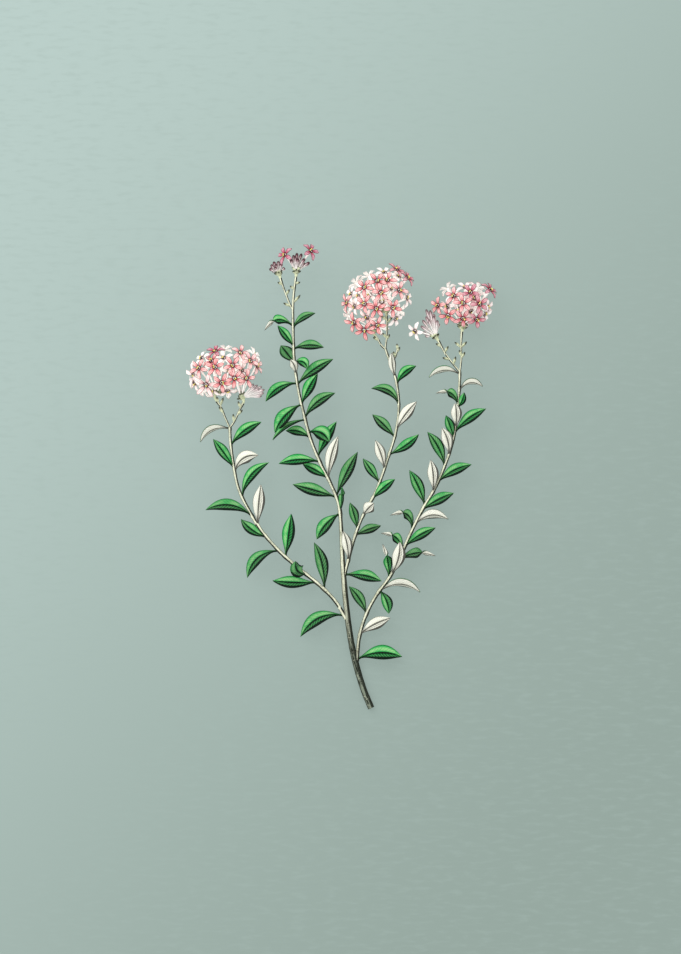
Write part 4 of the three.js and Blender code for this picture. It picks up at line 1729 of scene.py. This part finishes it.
    def closed_buds(self) -> List[Bud]:
        """Makes all closed flowers, every other one below the neck.

        Returns:
            The buds.
        """
        made = []
        for index, (x, y) in enumerate(self.buds):
            lift = self.dome_height(x, y, BUD_REACH, 0.1) * 0.5
            tip = Vector((x, y, self.necks[-1].z + (lift if index % 2 == 0 else -lift)))
            made.append(Bud(self.root_of(tip), tip, self.chance.random(), self.mauve))
        return made

    def receptacle(self, piece: Piece, root: Vector, neck: Vector) -> None:
        """Adds the top of a flower stalk, which swells below the flowers.

        Args:
            piece: takes it.
            root: top of the stalk on the layout.
            neck: where the tubes run together.
        """
        start = min(stalk_ends(), key=lambda end: (end - root).length)
        line = StemCurve([start, root, neck + (neck - root) * 0.4])

        def rule(angle: float, along: float) -> Spot:
            """Places a point of the stalk's top.

            Args:
                angle: where it is round the stalk.
                along: where it is along the stalk, from 0 to 1.

            Returns:
                The point's spot.
            """
            radius = STALK_RADIUS * (1 + 0.45 * smooth(0.3, 0.85, along)) * (1 - along ** 8 * 0.6)
            ring = round_line(line.tangent(along), angle) * radius
            return Spot(line.point(along) + ring * (1 + 0.1 * math.cos(angle * 5)),
                        (angle / math.tau * 4, along * 0.45, 0), 0.4, 0.0)

        piece.tube(12, 10, rule, 0)

    def collar(self, piece: Piece, root: Vector, neck: Vector) -> None:
        """Adds the pointed bracts round the top of a flower stalk, less spread below buds.

        Args:
            piece: takes them.
            root: top of the stalk on the layout.
            neck: where the tubes run together.
        """
        ahead = neck - root
        heading = math.atan2(ahead.y, ahead.x)
        spread, share_of_length = BUD_COLLAR if self.buds else (1.0, 1.0)
        for number in range(BRACTS_IN_COLLAR):
            share = number / (BRACTS_IN_COLLAR - 1) * 2 - 1
            rise = COLLAR_RISES[number % 2] + self.chance.uniform(-0.4, 0.4)
            length = self.chance.uniform(*COLLAR_LENGTHS) * share_of_length
            Leaf(root + ahead * 0.3, heading + share * spread, length, BRACT_WIDTH, share * -0.5,
                 rise, 0.3, UPPER, 0, stalk=BRACT_WIDTH / 2).grow(piece, 4, 6)

    def build(self) -> None:
        """Builds the head's pieces."""
        corolla = Piece(self.name, "florets", self.slot, (
            PetalFace("petal_face"), PetalBack("petal_back"), PetalBack("tube_skin"),
            Throat("throat")))
        corolla.wall = PETAL_THICKNESS
        middle = Piece(self.name, "anthers", self.slot, (
            Cup("calyx"), Pollen("pollen"), Throat("thread")))
        florets = self.florets()
        for floret in florets:
            floret.grow(corolla, middle)
        collar = Piece(self.name, "collar", self.slot, CUPS)
        collar.wall = LEAF_THICKNESS
        for root, neck in zip(self.roots, self.necks):
            self.receptacle(middle, Vector(root), neck)
            self.collar(collar, Vector(root), neck)
        collar.done()
        if florets:
            corolla.done()
        middle.done()
        if self.buds:
            buds = Piece(self.name, "buds", self.slot, (BudSkin("bud_skin"), Cup("bud_cup")))
            for bud in self.closed_buds():
                bud.grow(buds)
            buds.done()


def stalk_ends() -> List[Vector]:
    """The tops of all flower stalks and stems."""
    ends = [Vector(stem.path[-1][:3]) for stem in STEMS]
    return ends + [Vector(path[-1]) for stem in STEMS for path, _ in stem.stalks]


@dataclass(frozen=True)
class Lamp:
    """A square soft light that points at the stem."""

    name: str
    place: Row
    size: float
    power: float

    def hang(self) -> None:
        """Adds the light to the scene."""
        data = bpy.data.lights.new(self.name, "AREA")
        data.size = self.size
        data.energy = self.power
        lamp = bpy.data.objects.new(self.name, data)
        lamp.location = self.place
        lamp.rotation_euler = (-Vector(self.place)).to_track_quat("-Z", "Y").to_euler()
        bpy.context.scene.collection.objects.link(lamp)


@dataclass(frozen=True)
class Studio:
    """The camera, the soft light and the plain floor, in metres."""

    lens: float = 200.0
    film: float = 36.0
    aside: float = -0.00055
    above: float = 0.012
    daylight: float = 0.86
    floor_half: float = 3.0
    floor_drop: float = 0.0001
    lamps: Tuple[Lamp, ...] = (Lamp("key", (-0.75, 0.8, 1.15), 1.5, 15.0),
                               Lamp("fill", (1.0, -0.7, 1.6), 1.5, 3.0))

    def camera(self) -> None:
        """Looks straight down, with the picture's height across the frame."""
        data = bpy.data.cameras.new("camera")
        data.lens = self.lens
        data.sensor_width = self.film
        data.clip_end = 20
        seen = PICTURE_HEIGHT * MM_PER_PIXEL / 1000
        camera = bpy.data.objects.new("camera", data)
        camera.location = (self.aside, 0, seen * self.lens / self.film + self.above)
        bpy.context.scene.collection.objects.link(camera)
        bpy.context.scene.camera = camera

    def sky(self) -> None:
        """Sets the even light from all round."""
        world = bpy.data.worlds.new("room")
        world.use_nodes = True
        shade = world.node_tree.nodes["Background"]
        shade.inputs["Color"].default_value = (1.0, 1.0, 1.0, 1.0)
        shade.inputs["Strength"].default_value = self.daylight
        bpy.context.scene.world = world
        bpy.context.scene.view_settings.view_transform = "Standard"

    def floor(self) -> None:
        """Lays the plain pale floor."""
        mesh = bpy.data.meshes.new("floor")
        sheet = bmesh.new()
        bmesh.ops.create_grid(sheet, x_segments=1, y_segments=1, size=self.floor_half)
        bmesh.ops.translate(sheet, vec=Vector((0, 0, -self.floor_drop)), verts=sheet.verts)
        sheet.to_mesh(mesh)
        sheet.free()
        mesh.materials.append(Paper("paper").material())
        floor = bpy.data.objects.new("floor", mesh)
        bpy.context.scene.collection.objects.link(floor)
        floor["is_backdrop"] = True

    def build(self) -> None:
        """Sets up the whole studio."""
        self.camera()
        self.sky()
        self.floor()
        for lamp in self.lamps:
            lamp.hang()


STEMS = (
    LeafyStem(
        "stem_tall",
        path=(
            (16.8, -128.5, 1.35, 1.85), (12.3, -117.5, 2, 1.8), (8.6, -105.5, 2.7, 1.8),
            (6.1, -95, 3.5, 1.75), (3.7, -80, 4.7, 1.7), (1.9, -63, 6, 1.6), (0.6, -45, 7.3, 1.4),
            (-0.2, -28, 8.5, 1.15), (-1.5, -15, 9.4, 1), (-6, -3.5, 10.3, 0.95),
            (-11.5, 7.5, 11.2, 0.95), (-17, 21, 12.2, 0.9), (-20.5, 34, 13.2, 0.9),
            (-23.5, 47, 14.1, 0.85), (-25.8, 63, 15.1, 0.8), (-26.5, 80, 16.1, 0.8),
            (-26.5, 97, 17, 0.75), (-25, 110, 17.5, 0.75),
        ),
        leaves=(
            (-20, -132, 19.2, 6.6, -1.8, 1, 3, UPPER, 0),
            (-19, 86, 13.5, 4, -0.6, 6, 1.5, LEANING, 0),
            (-11, 164, 25, 6.6, -0.2, 2, 2.5, UPPER, 0),
            (-10.5, 64, 27, 6.2, 0.5, -3, 2, UPPER, 0),
            (-0.6, 151, 16, 5.4, -0.5, -2, 2, UPPER, 0),
            (-1, 77, 24, 5.8, 1.4, 6, 2, UNDER, 0),
            (8.5, -177, 22.5, 5.8, -1.6, 5, 2, UPPER, 0),
            (11, 62, 22, 5.8, 0.9, 1, 2, UPPER, 0),
            (24.7, -26, 12.5, 8, 2.6, 3, 3, UPPER, 0),
            (21.5, 164, 14, 5.2, -1.7, -3, 1.5, UPPER, 0),
            (31.5, -148, 21, 4.4, -2.2, 5, 2, LEANING, 0),
            (40, -133, 21.5, 7.2, -2.2, 1, 3, UPPER, 0),
            (32.6, 39, 21.5, 5.8, 2.4, 2, 3, UPPER, 0),
            (40, 62, 19, 6, 0.6, 5, 2, UPPER, 0),
            (51, 35, 24, 6, 1.4, 1, 3, UPPER, 0),
            (51.5, -150, 20, 5.4, -3, 0, 3, UPPER, 0),
            (57, 112, 7.8, 4, -0.8, 5, 2, UNDER, 0),
            (63, -28, 8, 5, 2.3, 4, 3, UPPER, 0),
            (62.5, 128, 12.5, 7, 0, -4, 1, UPPER, 0),
            (70.5, 2, 16.5, 5.2, 1.6, 3, 2, UPPER, 0),
            (72, 128, 14, 4.6, -0.2, 5, 1, UPPER, 0),
            (83, -171, 15.8, 5.4, -4.5, 2, 2, UPPER, CURLED),
            (82, 33, 14.5, 3.8, 1.8, 1, 2, UPPER, 0),
        ),
        stalks=(
            (((-26.6, 91.5, 16.7), (-28.2, 94.5, 17), (-31.5, 103, 17.3), (-33.6, 109.1, 17.5)),
             ((0.25, 155, 4.5), (0.55, 60, 3.5), (0.8, 150, 3))),
        ),
        bracts=((95.5, 48, 6), (103, 140, 3), (106, 20, 3)),
        woody=(-35, -100),
        cut_foot=True,
        sides=18,
        rings=110,
        hairs=320,
    ),
    LeafyStem(
        "branch_left",
        path=(
            (3.2, -79, 4.8, 1.1), (-3.8, -68, 5.8, 1.05), (-13.2, -58.7, 7, 1),
            (-24.3, -49.8, 8.4, 1), (-35.3, -39.8, 10, 0.95), (-44.3, -29.2, 11.3, 0.95),
            (-50.7, -18.5, 12.6, 0.9), (-56.5, -6.5, 13.8, 0.9), (-59.5, 8, 15, 0.85),
            (-61, 20, 15.8, 0.85), (-61.3, 27.5, 16.3, 0.85),
        ),
        leaves=(
            (-76.3, -154, 26.8, 7, -4.9, 0, 3, UPPER, 0),
            (-62, 102, 26.5, 6.5, -1.7, 3, 2, UPPER, 0),
            (-58, 178, 24, 6.4, 0.5, 0, 2.5, UPPER, 0),
            (-53.6, 128, 9.2, 7.6, 2.4, 6, 4, UPPER, 0),
            (-44, 82, 24, 6.8, -0.2, 3, 2, UPPER, 0),
            (-40.5, -139, 22.8, 6.2, -4.4, -1, 3, UPPER, 0),
            (-33, 145, 17, 5.4, 1.3, -2, 2, UPPER, 0),
            (-26.5, 85, 22.5, 6, 0.4, 7, 2, UNDER, 0),
            (-21.5, 172.5, 25.8, 6.2, -4.4, 2, 3, UPPER, 0),
            (-11, 52, 24, 5.6, 3.5, 4, 2, UPPER, 0),
            (3, 34, 15.8, 6.4, 3.4, 5, 2, UNDER, 0),
            (5, 126, 19.5, 5.4, -0.3, 0, 2, UPPER, 0),
            (17.5, 37, 21, 5.8, 1.9, 1, 2.5, UPPER, 0),
            (26.5, -156, 17.8, 5.4, -3.6, 1, 2, EDGE, 0),
        ),
        stalks=(
            (((-61.3, 27, 16.3), (-64, 33, 16.7), (-66, 38, 17), (-68.5, 41.6, 17.2)),
             ((0.45, 125, 4.5), (0.75, 70, 5), (0.9, 100, 3.5))),
            (((-61.3, 27, 16.3), (-58.8, 30.5, 16.7), (-56.3, 36, 17), (-54, 40.5, 17.2)),
             ((0.3, 95, 4.5), (0.55, 45, 4), (0.8, 110, 4))),
        ),
    ),
    LeafyStem(
        "branch_middle",
        path=(
            (1.2, -56, 6.5, 0.95), (3, -49, 7.3, 0.95), (5.7, -38.5, 8.3, 0.95),
            (9.2, -27.5, 9.3, 0.9), (13, -19, 10.2, 0.9), (18, -10, 11.4, 0.9),
            (22.1, 0, 12.5, 0.85), (26.1, 12, 13.8, 0.85), (29.4, 22.5, 15, 0.8),
            (31.4, 35, 16.3, 0.8), (31.2, 45, 17.3, 0.8), (29.5, 55, 18.3, 0.75),
            (26.5, 63.5, 19.2, 0.75), (24, 70.5, 20, 0.75),
        ),
        leaves=(
            (-53.8, -10, 20.6, 6, 1.5, 3, 3, UPPER, 0),
            (-46, 100, 16.5, 5, -0.9, 6, 2.5, UNDER, 0),
            (-28.5, 106, 15, 4.8, -0.2, 3, 1.5, UPPER, 0),
            (-32, 20, 15, 4.8, 0.5, -3, 1, UPPER, 0),
            (-20.8, 48, 8.5, 6, 0.5, 4, 2, UNDER, 0),
            (-12, 41, 16.5, 5, 0.6, 1, 2, UPPER, 0),
            (-3, 125, 16, 4.8, 0, 2, 2, UPPER, 0),
            (4.5, 108, 16.5, 5, -0.6, 5, 2, UNDER, 0),
            (12.5, 34, 19.5, 5.2, -1, 1, 2, UPPER, 0),
            (22, 135, 17.4, 5.4, -0.4, 0, 2, UPPER, 0),
            (26, 54, 19, 5.6, 1, 4, 2, UNDER, 0),
            (39.5, 149, 17.6, 5, -3.9, 1, 2, UPPER, 0),
            (51, 43, 14.5, 4.8, 1.9, 0, 2, UPPER, 0),
            (55, 98, 13.5, 3.4, 0.7, 5, 1, UNDER, 0),
        ),
        stalks=(
            (((24.2, 70, 19.9), (22, 72, 20.2), (20, 75.5, 20.5), (18.4, 77.4, 20.8)),
             ((0.6, 150, 3.5),)),
            (((24, 70, 19.9), (24.8, 77, 20.6), (25, 84, 21.1), (24.6, 88.5, 21.4)),
             ((0.25, 60, 3.5), (0.3, 130, 3.5), (0.7, 50, 4.5), (0.8, 140, 4))),
            (((27, 62, 19), (29.5, 66, 20.5), (30.8, 70.5, 21.5)),
             ((0.5, 110, 3), (0.75, 60, 3.5), (0.95, 95, 3))),
        ),
    ),
    LeafyStem(
        "branch_right",
        path=(
            (8.3, -105, 2.7, 1.05), (8.8, -98, 3.3, 1.05), (10, -87.5, 4.2, 1.05),
            (13.8, -75.5, 5.3, 1), (19.4, -65, 6.5, 1), (26.6, -55, 7.9, 0.95),
            (33, -42.5, 9.2, 0.95), (38.5, -30, 10.5, 0.95), (44.5, -18, 11.7, 0.9),
            (51.5, -6, 12.9, 0.9), (57.5, 8, 14.1, 0.85), (61.3, 20, 15.1, 0.85),
            (63.5, 34, 16.1, 0.8), (64.7, 48, 16.9, 0.8), (65, 58, 17.4, 0.8),
        ),
        leaves=(
            (-100.5, 3, 24.8, 7.8, 3, 1, 3, UPPER, 0),
            (-86.6, 28, 19, 5.8, 1.2, 4, 2, UNDER, 0),
            (-75.5, 122.5, 18, 5.4, -1.2, 0, 2, UPPER, 0),
            (-62.5, -69, 13.5, 5.6, 1.3, 4, 4, UPPER, 0),
            (-63, -1, 22.6, 7, 4.5, 1, 2, EDGE, 0),
            (-55.5, 101, 19, 5.2, -0.8, 1, 2, UPPER, CURLED),
            (-53.5, 76, 18.5, 6.6, -1.5, 8, 2, UNDER, 0),
            (-41, 140, 15.6, 5.4, -3.4, 0, 2, UPPER, CURLED),
            (-45.5, 6, 20.2, 5.8, 2.6, 1, 2, UPPER, CURLED),
            (-38, 31, 19.5, 5.4, 1.1, 2, 2, UPPER, 0),
            (-29, 147, 14.5, 5.6, -5.4, 1, 2, UPPER, CURLED),
            (-26, 9, 18.5, 5.6, 3.8, 1, 2, ROLLED, 0),
            (-18, 28, 19.5, 5.8, 0.9, 2, 2, UPPER, 0),
            (-15.5, 114, 21, 6, -0.7, 1, 2, UPPER, 0),
            (-8, 95, 17.5, 5.4, -0.7, 6, 2, UNDER, 0),
            (-2.5, 27, 20.5, 5.8, 1.6, 1, 2, UPPER, 0),
            (6, 117, 21, 6, -1.4, 1, 2, UPPER, 0),
            (12, 105, 15.5, 5.6, -1.4, 7, 2, UNDER, 0),
            (21.5, 109, 13, 4.8, -0.1, 1, 1.5, UPPER, 0),
            (24.5, 37, 21.5, 5.8, 1.6, 1, 2, UPPER, 0),
            (27.5, 92, 13, 5.4, -0.6, 6, 2, UNDER, 0),
            (39.5, 152, 13.8, 5, -3.8, 1, 2, UPPER, CURLED),
            (38.5, 68, 8.5, 3.6, -0.8, 3, 1, UPPER, 0),
            (56.5, -174, 17, 5.2, -3.2, 1, 2, EDGE, 0),
            (47.8, 9, 13, 4.8, 3.2, 1, 2, EDGE, 0),
        ),
        stalks=(
            (((65, 57.5, 17.4), (61.7, 61.5, 17.8), (57, 67.7, 18.2), (53.2, 74.7, 18.6)),
             ((0.35, 75, 4.5), (0.5, 165, 4), (0.7, 60, 4), (0.85, 150, 3.5))),
            (((65, 57.5, 17.4), (65.8, 66, 17.9), (65.6, 72, 18.2), (66, 79.9, 18.5)),
             ((0.3, 60, 4), (0.35, 110, 3.5), (0.62, 45, 4.5), (0.62, 140, 4.5))),
        ),
    ),
)

# Florets: x, y and, as far as it is given, depth of pink, direction of one petal in degrees,
# share of mauve, size
HEADS = (
    FlowerHead(
        "head_left",
        middle=(-64, 57, 16.5),
        size=(19, 13.5, 15.6),
        roots=((-69.6, 43.9, 17.3), (-53.7, 41.8, 17.3)),
        facing=((-78, 59.5, 0.8, 60), (-69, 60, 1.0, 90), (-59.5, 61, 0.9, 128),
                (-55.5, 68, 0.7, 145), (-74, 50.5, 0.4, 220, 0, 1.4), (-65.5, 51.5, 1.0, 280),
                (-58.5, 54, 0.95, 270), (-52, 54, 0.8, 78), (-50, 63.5, 0.6, 117)),
        behind=((-71, 63.5, 0.9, 70), (-76.5, 65, 0.05, 100), (-64.5, 65, 0.05, 95),
                (-61.5, 57.5, 0.1, 20), (-55, 58.5, 0.3, 60), (-71, 48, 0.1, 250),
                (-62.5, 47.5, 0.1, 230), (-81, 56, 0.1, 225, 0, 1.5)),
        rim=((-46, 61, 0.6, 330), (-64.5, 70.5, 0.05, 100), (-69.5, 69.5, 1.0, 140, 0.8),
             (-47.5, 67.5, 0.0, 70), (-81, 51.5, 0.15, 215), (-76.5, 47, 0.2, 240)),
        under=4,
        buds=((-48, 51), (-43.7, 49.8), (-46, 50.4), (-43.8, 44.6), (-42.2, 48), (-46, 47),
              (-45, 48.8), (-42.6, 46.2), (-47, 49.2), (-44.8, 45.6)),
    ),
    FlowerHead(
        "head_middle",
        middle=(20, 95, 20.5),
        size=(17, 18.5, 15),
        roots=((17.8, 78.2, 21), (24.5, 89.8, 21.5)),
        facing=((12.5, 103.5, 0.95, 275), (19.5, 107, 1.0, 270), (25, 107.5, 0.85, 72),
                (21.5, 100.5, 0.9, 240), (31.5, 102, 0.7, 283), (12.5, 94.5, 0.9, 60),
                (19, 92, 1.0, 240), (28, 92.5, 0.95, 270), (7, 84.5, 0.9, 96, 0, 1.12),
                (12.5, 80.5, 1.0, 268, 0, 1.15), (19.5, 83, 0.95, 285)),
        behind=((5.5, 100, 0.05, 80), (9.5, 98.5, 0.05, 70), (15.5, 99.5, 0.1, 110),
                (31, 109.5, 0.05, 40), (26.5, 103, 0.1, 300), (7.5, 93.5, 0.1, 150),
                (35.5, 98, 0.1, 340), (29.5, 87, 0.05, 300), (14, 87.5, 0.3, 60),
                (22, 96, 0.15, 20)),
        rim=((30.5, 114, 0.9, 60, 0.5), (7.5, 107, 0.05, 85), (36.5, 109.5, 0.9, 280, 0.6),
             (3, 88.5, 0.15, 120), (2.5, 95.5, 0.8, 260), (15, 111, 0.05, 80),
             (23.5, 112.5, 0.05, 70), (32, 91, 0.1, 330)),
        under=4,
    ),
    FlowerHead(
        "head_right",
        middle=(68, 94.5, 15.5),
        size=(15.5, 11, 14.6),
        roots=((66.1, 80, 18.6),),
        facing=((61.5, 99, 0.8, 88, 0.2), (53, 94, 0.85, 75, 0.1), (66.5, 95, 0.9, 105, 0.1),
                (58.5, 88.5, 1.0, 190, 0.1), (66.5, 87, 0.95, 275, 0.3),
                (74, 86.5, 0.85, 280, 0.7), (75.5, 94.5, 0.8, 38, 0.7),
                (70.5, 101, 0.85, 60, 0.8)),
        behind=((58.5, 93.5, 0.05, 80), (64.5, 92, 0.1, 60), (71, 91, 0.1, 230),
                (78.5, 89.5, 0.0, 310), (72.5, 98, 0.5, 100)),
        rim=((82, 103, 0.9, 280, 0.8), (58, 104, 0.05, 110), (68, 104.5, 0.05, 75),
             (75, 104.5, 0.3, 70, 0.6), (80.5, 93, 0.1, 330)),
        under=4,
        mauve=0.3,
    ),
    FlowerHead(
        "cluster_right",
        middle=(47.5, 83.5, 18.6),
        size=(7, 8, 7),
        roots=((53, 75, 18.7),),
        facing=((40.5, 80, 0.0, 150, 0.1),),
        buds=((46.3, 92), (44.4, 86.2), (48.5, 91.5), (46, 77.5), (50.5, 88.5), (44.5, 79.5),
              (52.5, 86), (48.5, 79), (47.5, 86.5), (50, 82.5), (46.2, 88), (48.6, 88.4),
              (50.6, 89.6), (53.4, 84.4), (43.4, 82.8), (46, 83.5)),
        mauve=0.25,
        slot=Slot.BUD,
    ),
    FlowerHead(
        "head_top_left",
        middle=(-35, 114.5, 17.6),
        size=(3.8, 3.8, 3.8),
        roots=((-33.7, 109.4, 17.5),),
        buds=((-39.6, 114.4), (-38.8, 116.6), (-37.4, 118.2), (-34.8, 118.6), (-33, 117.2),
              (-31.3, 115), (-36.6, 115.4), (-34, 114.4), (-36.2, 116.8), (-38, 113.4)),
        mauve=0.9,
        slot=Slot.BUD,
    ),
    FlowerHead(
        "head_top",
        middle=(-24.5, 119, 17.6),
        size=(5.5, 5, 5),
        roots=((-25, 110.3, 17.5),),
        facing=((-31, 121.8, 0.95, 117, 0.9), (-17, 124, 0.9, 60, 0.95)),
        buds=((-28, 119.5), (-26.5, 122), (-24.5, 123), (-22, 122.8), (-20.2, 120),
              (-17.5, 118), (-24, 120), (-22.5, 118), (-25.4, 121.4), (-20, 117.6)),
        mauve=0.9,
        slot=Slot.BUD,
    ),
)

PART_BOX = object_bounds()
SCALE = (PART_BOX[1][1] - PART_BOX[0][1]) / LAYOUT_LENGTH


def main() -> None:
    """Builds the studio, the stems and the flower heads."""
    logging.basicConfig(level=logging.INFO, format="%(message)s")
    Studio().build()
    for stem in STEMS:
        stem.build()
        log.info("stem %s is done", stem.name)
    for head in HEADS:
        head.build()
        log.info("head %s is done", head.name)


if __name__ == "__main__":
    main()
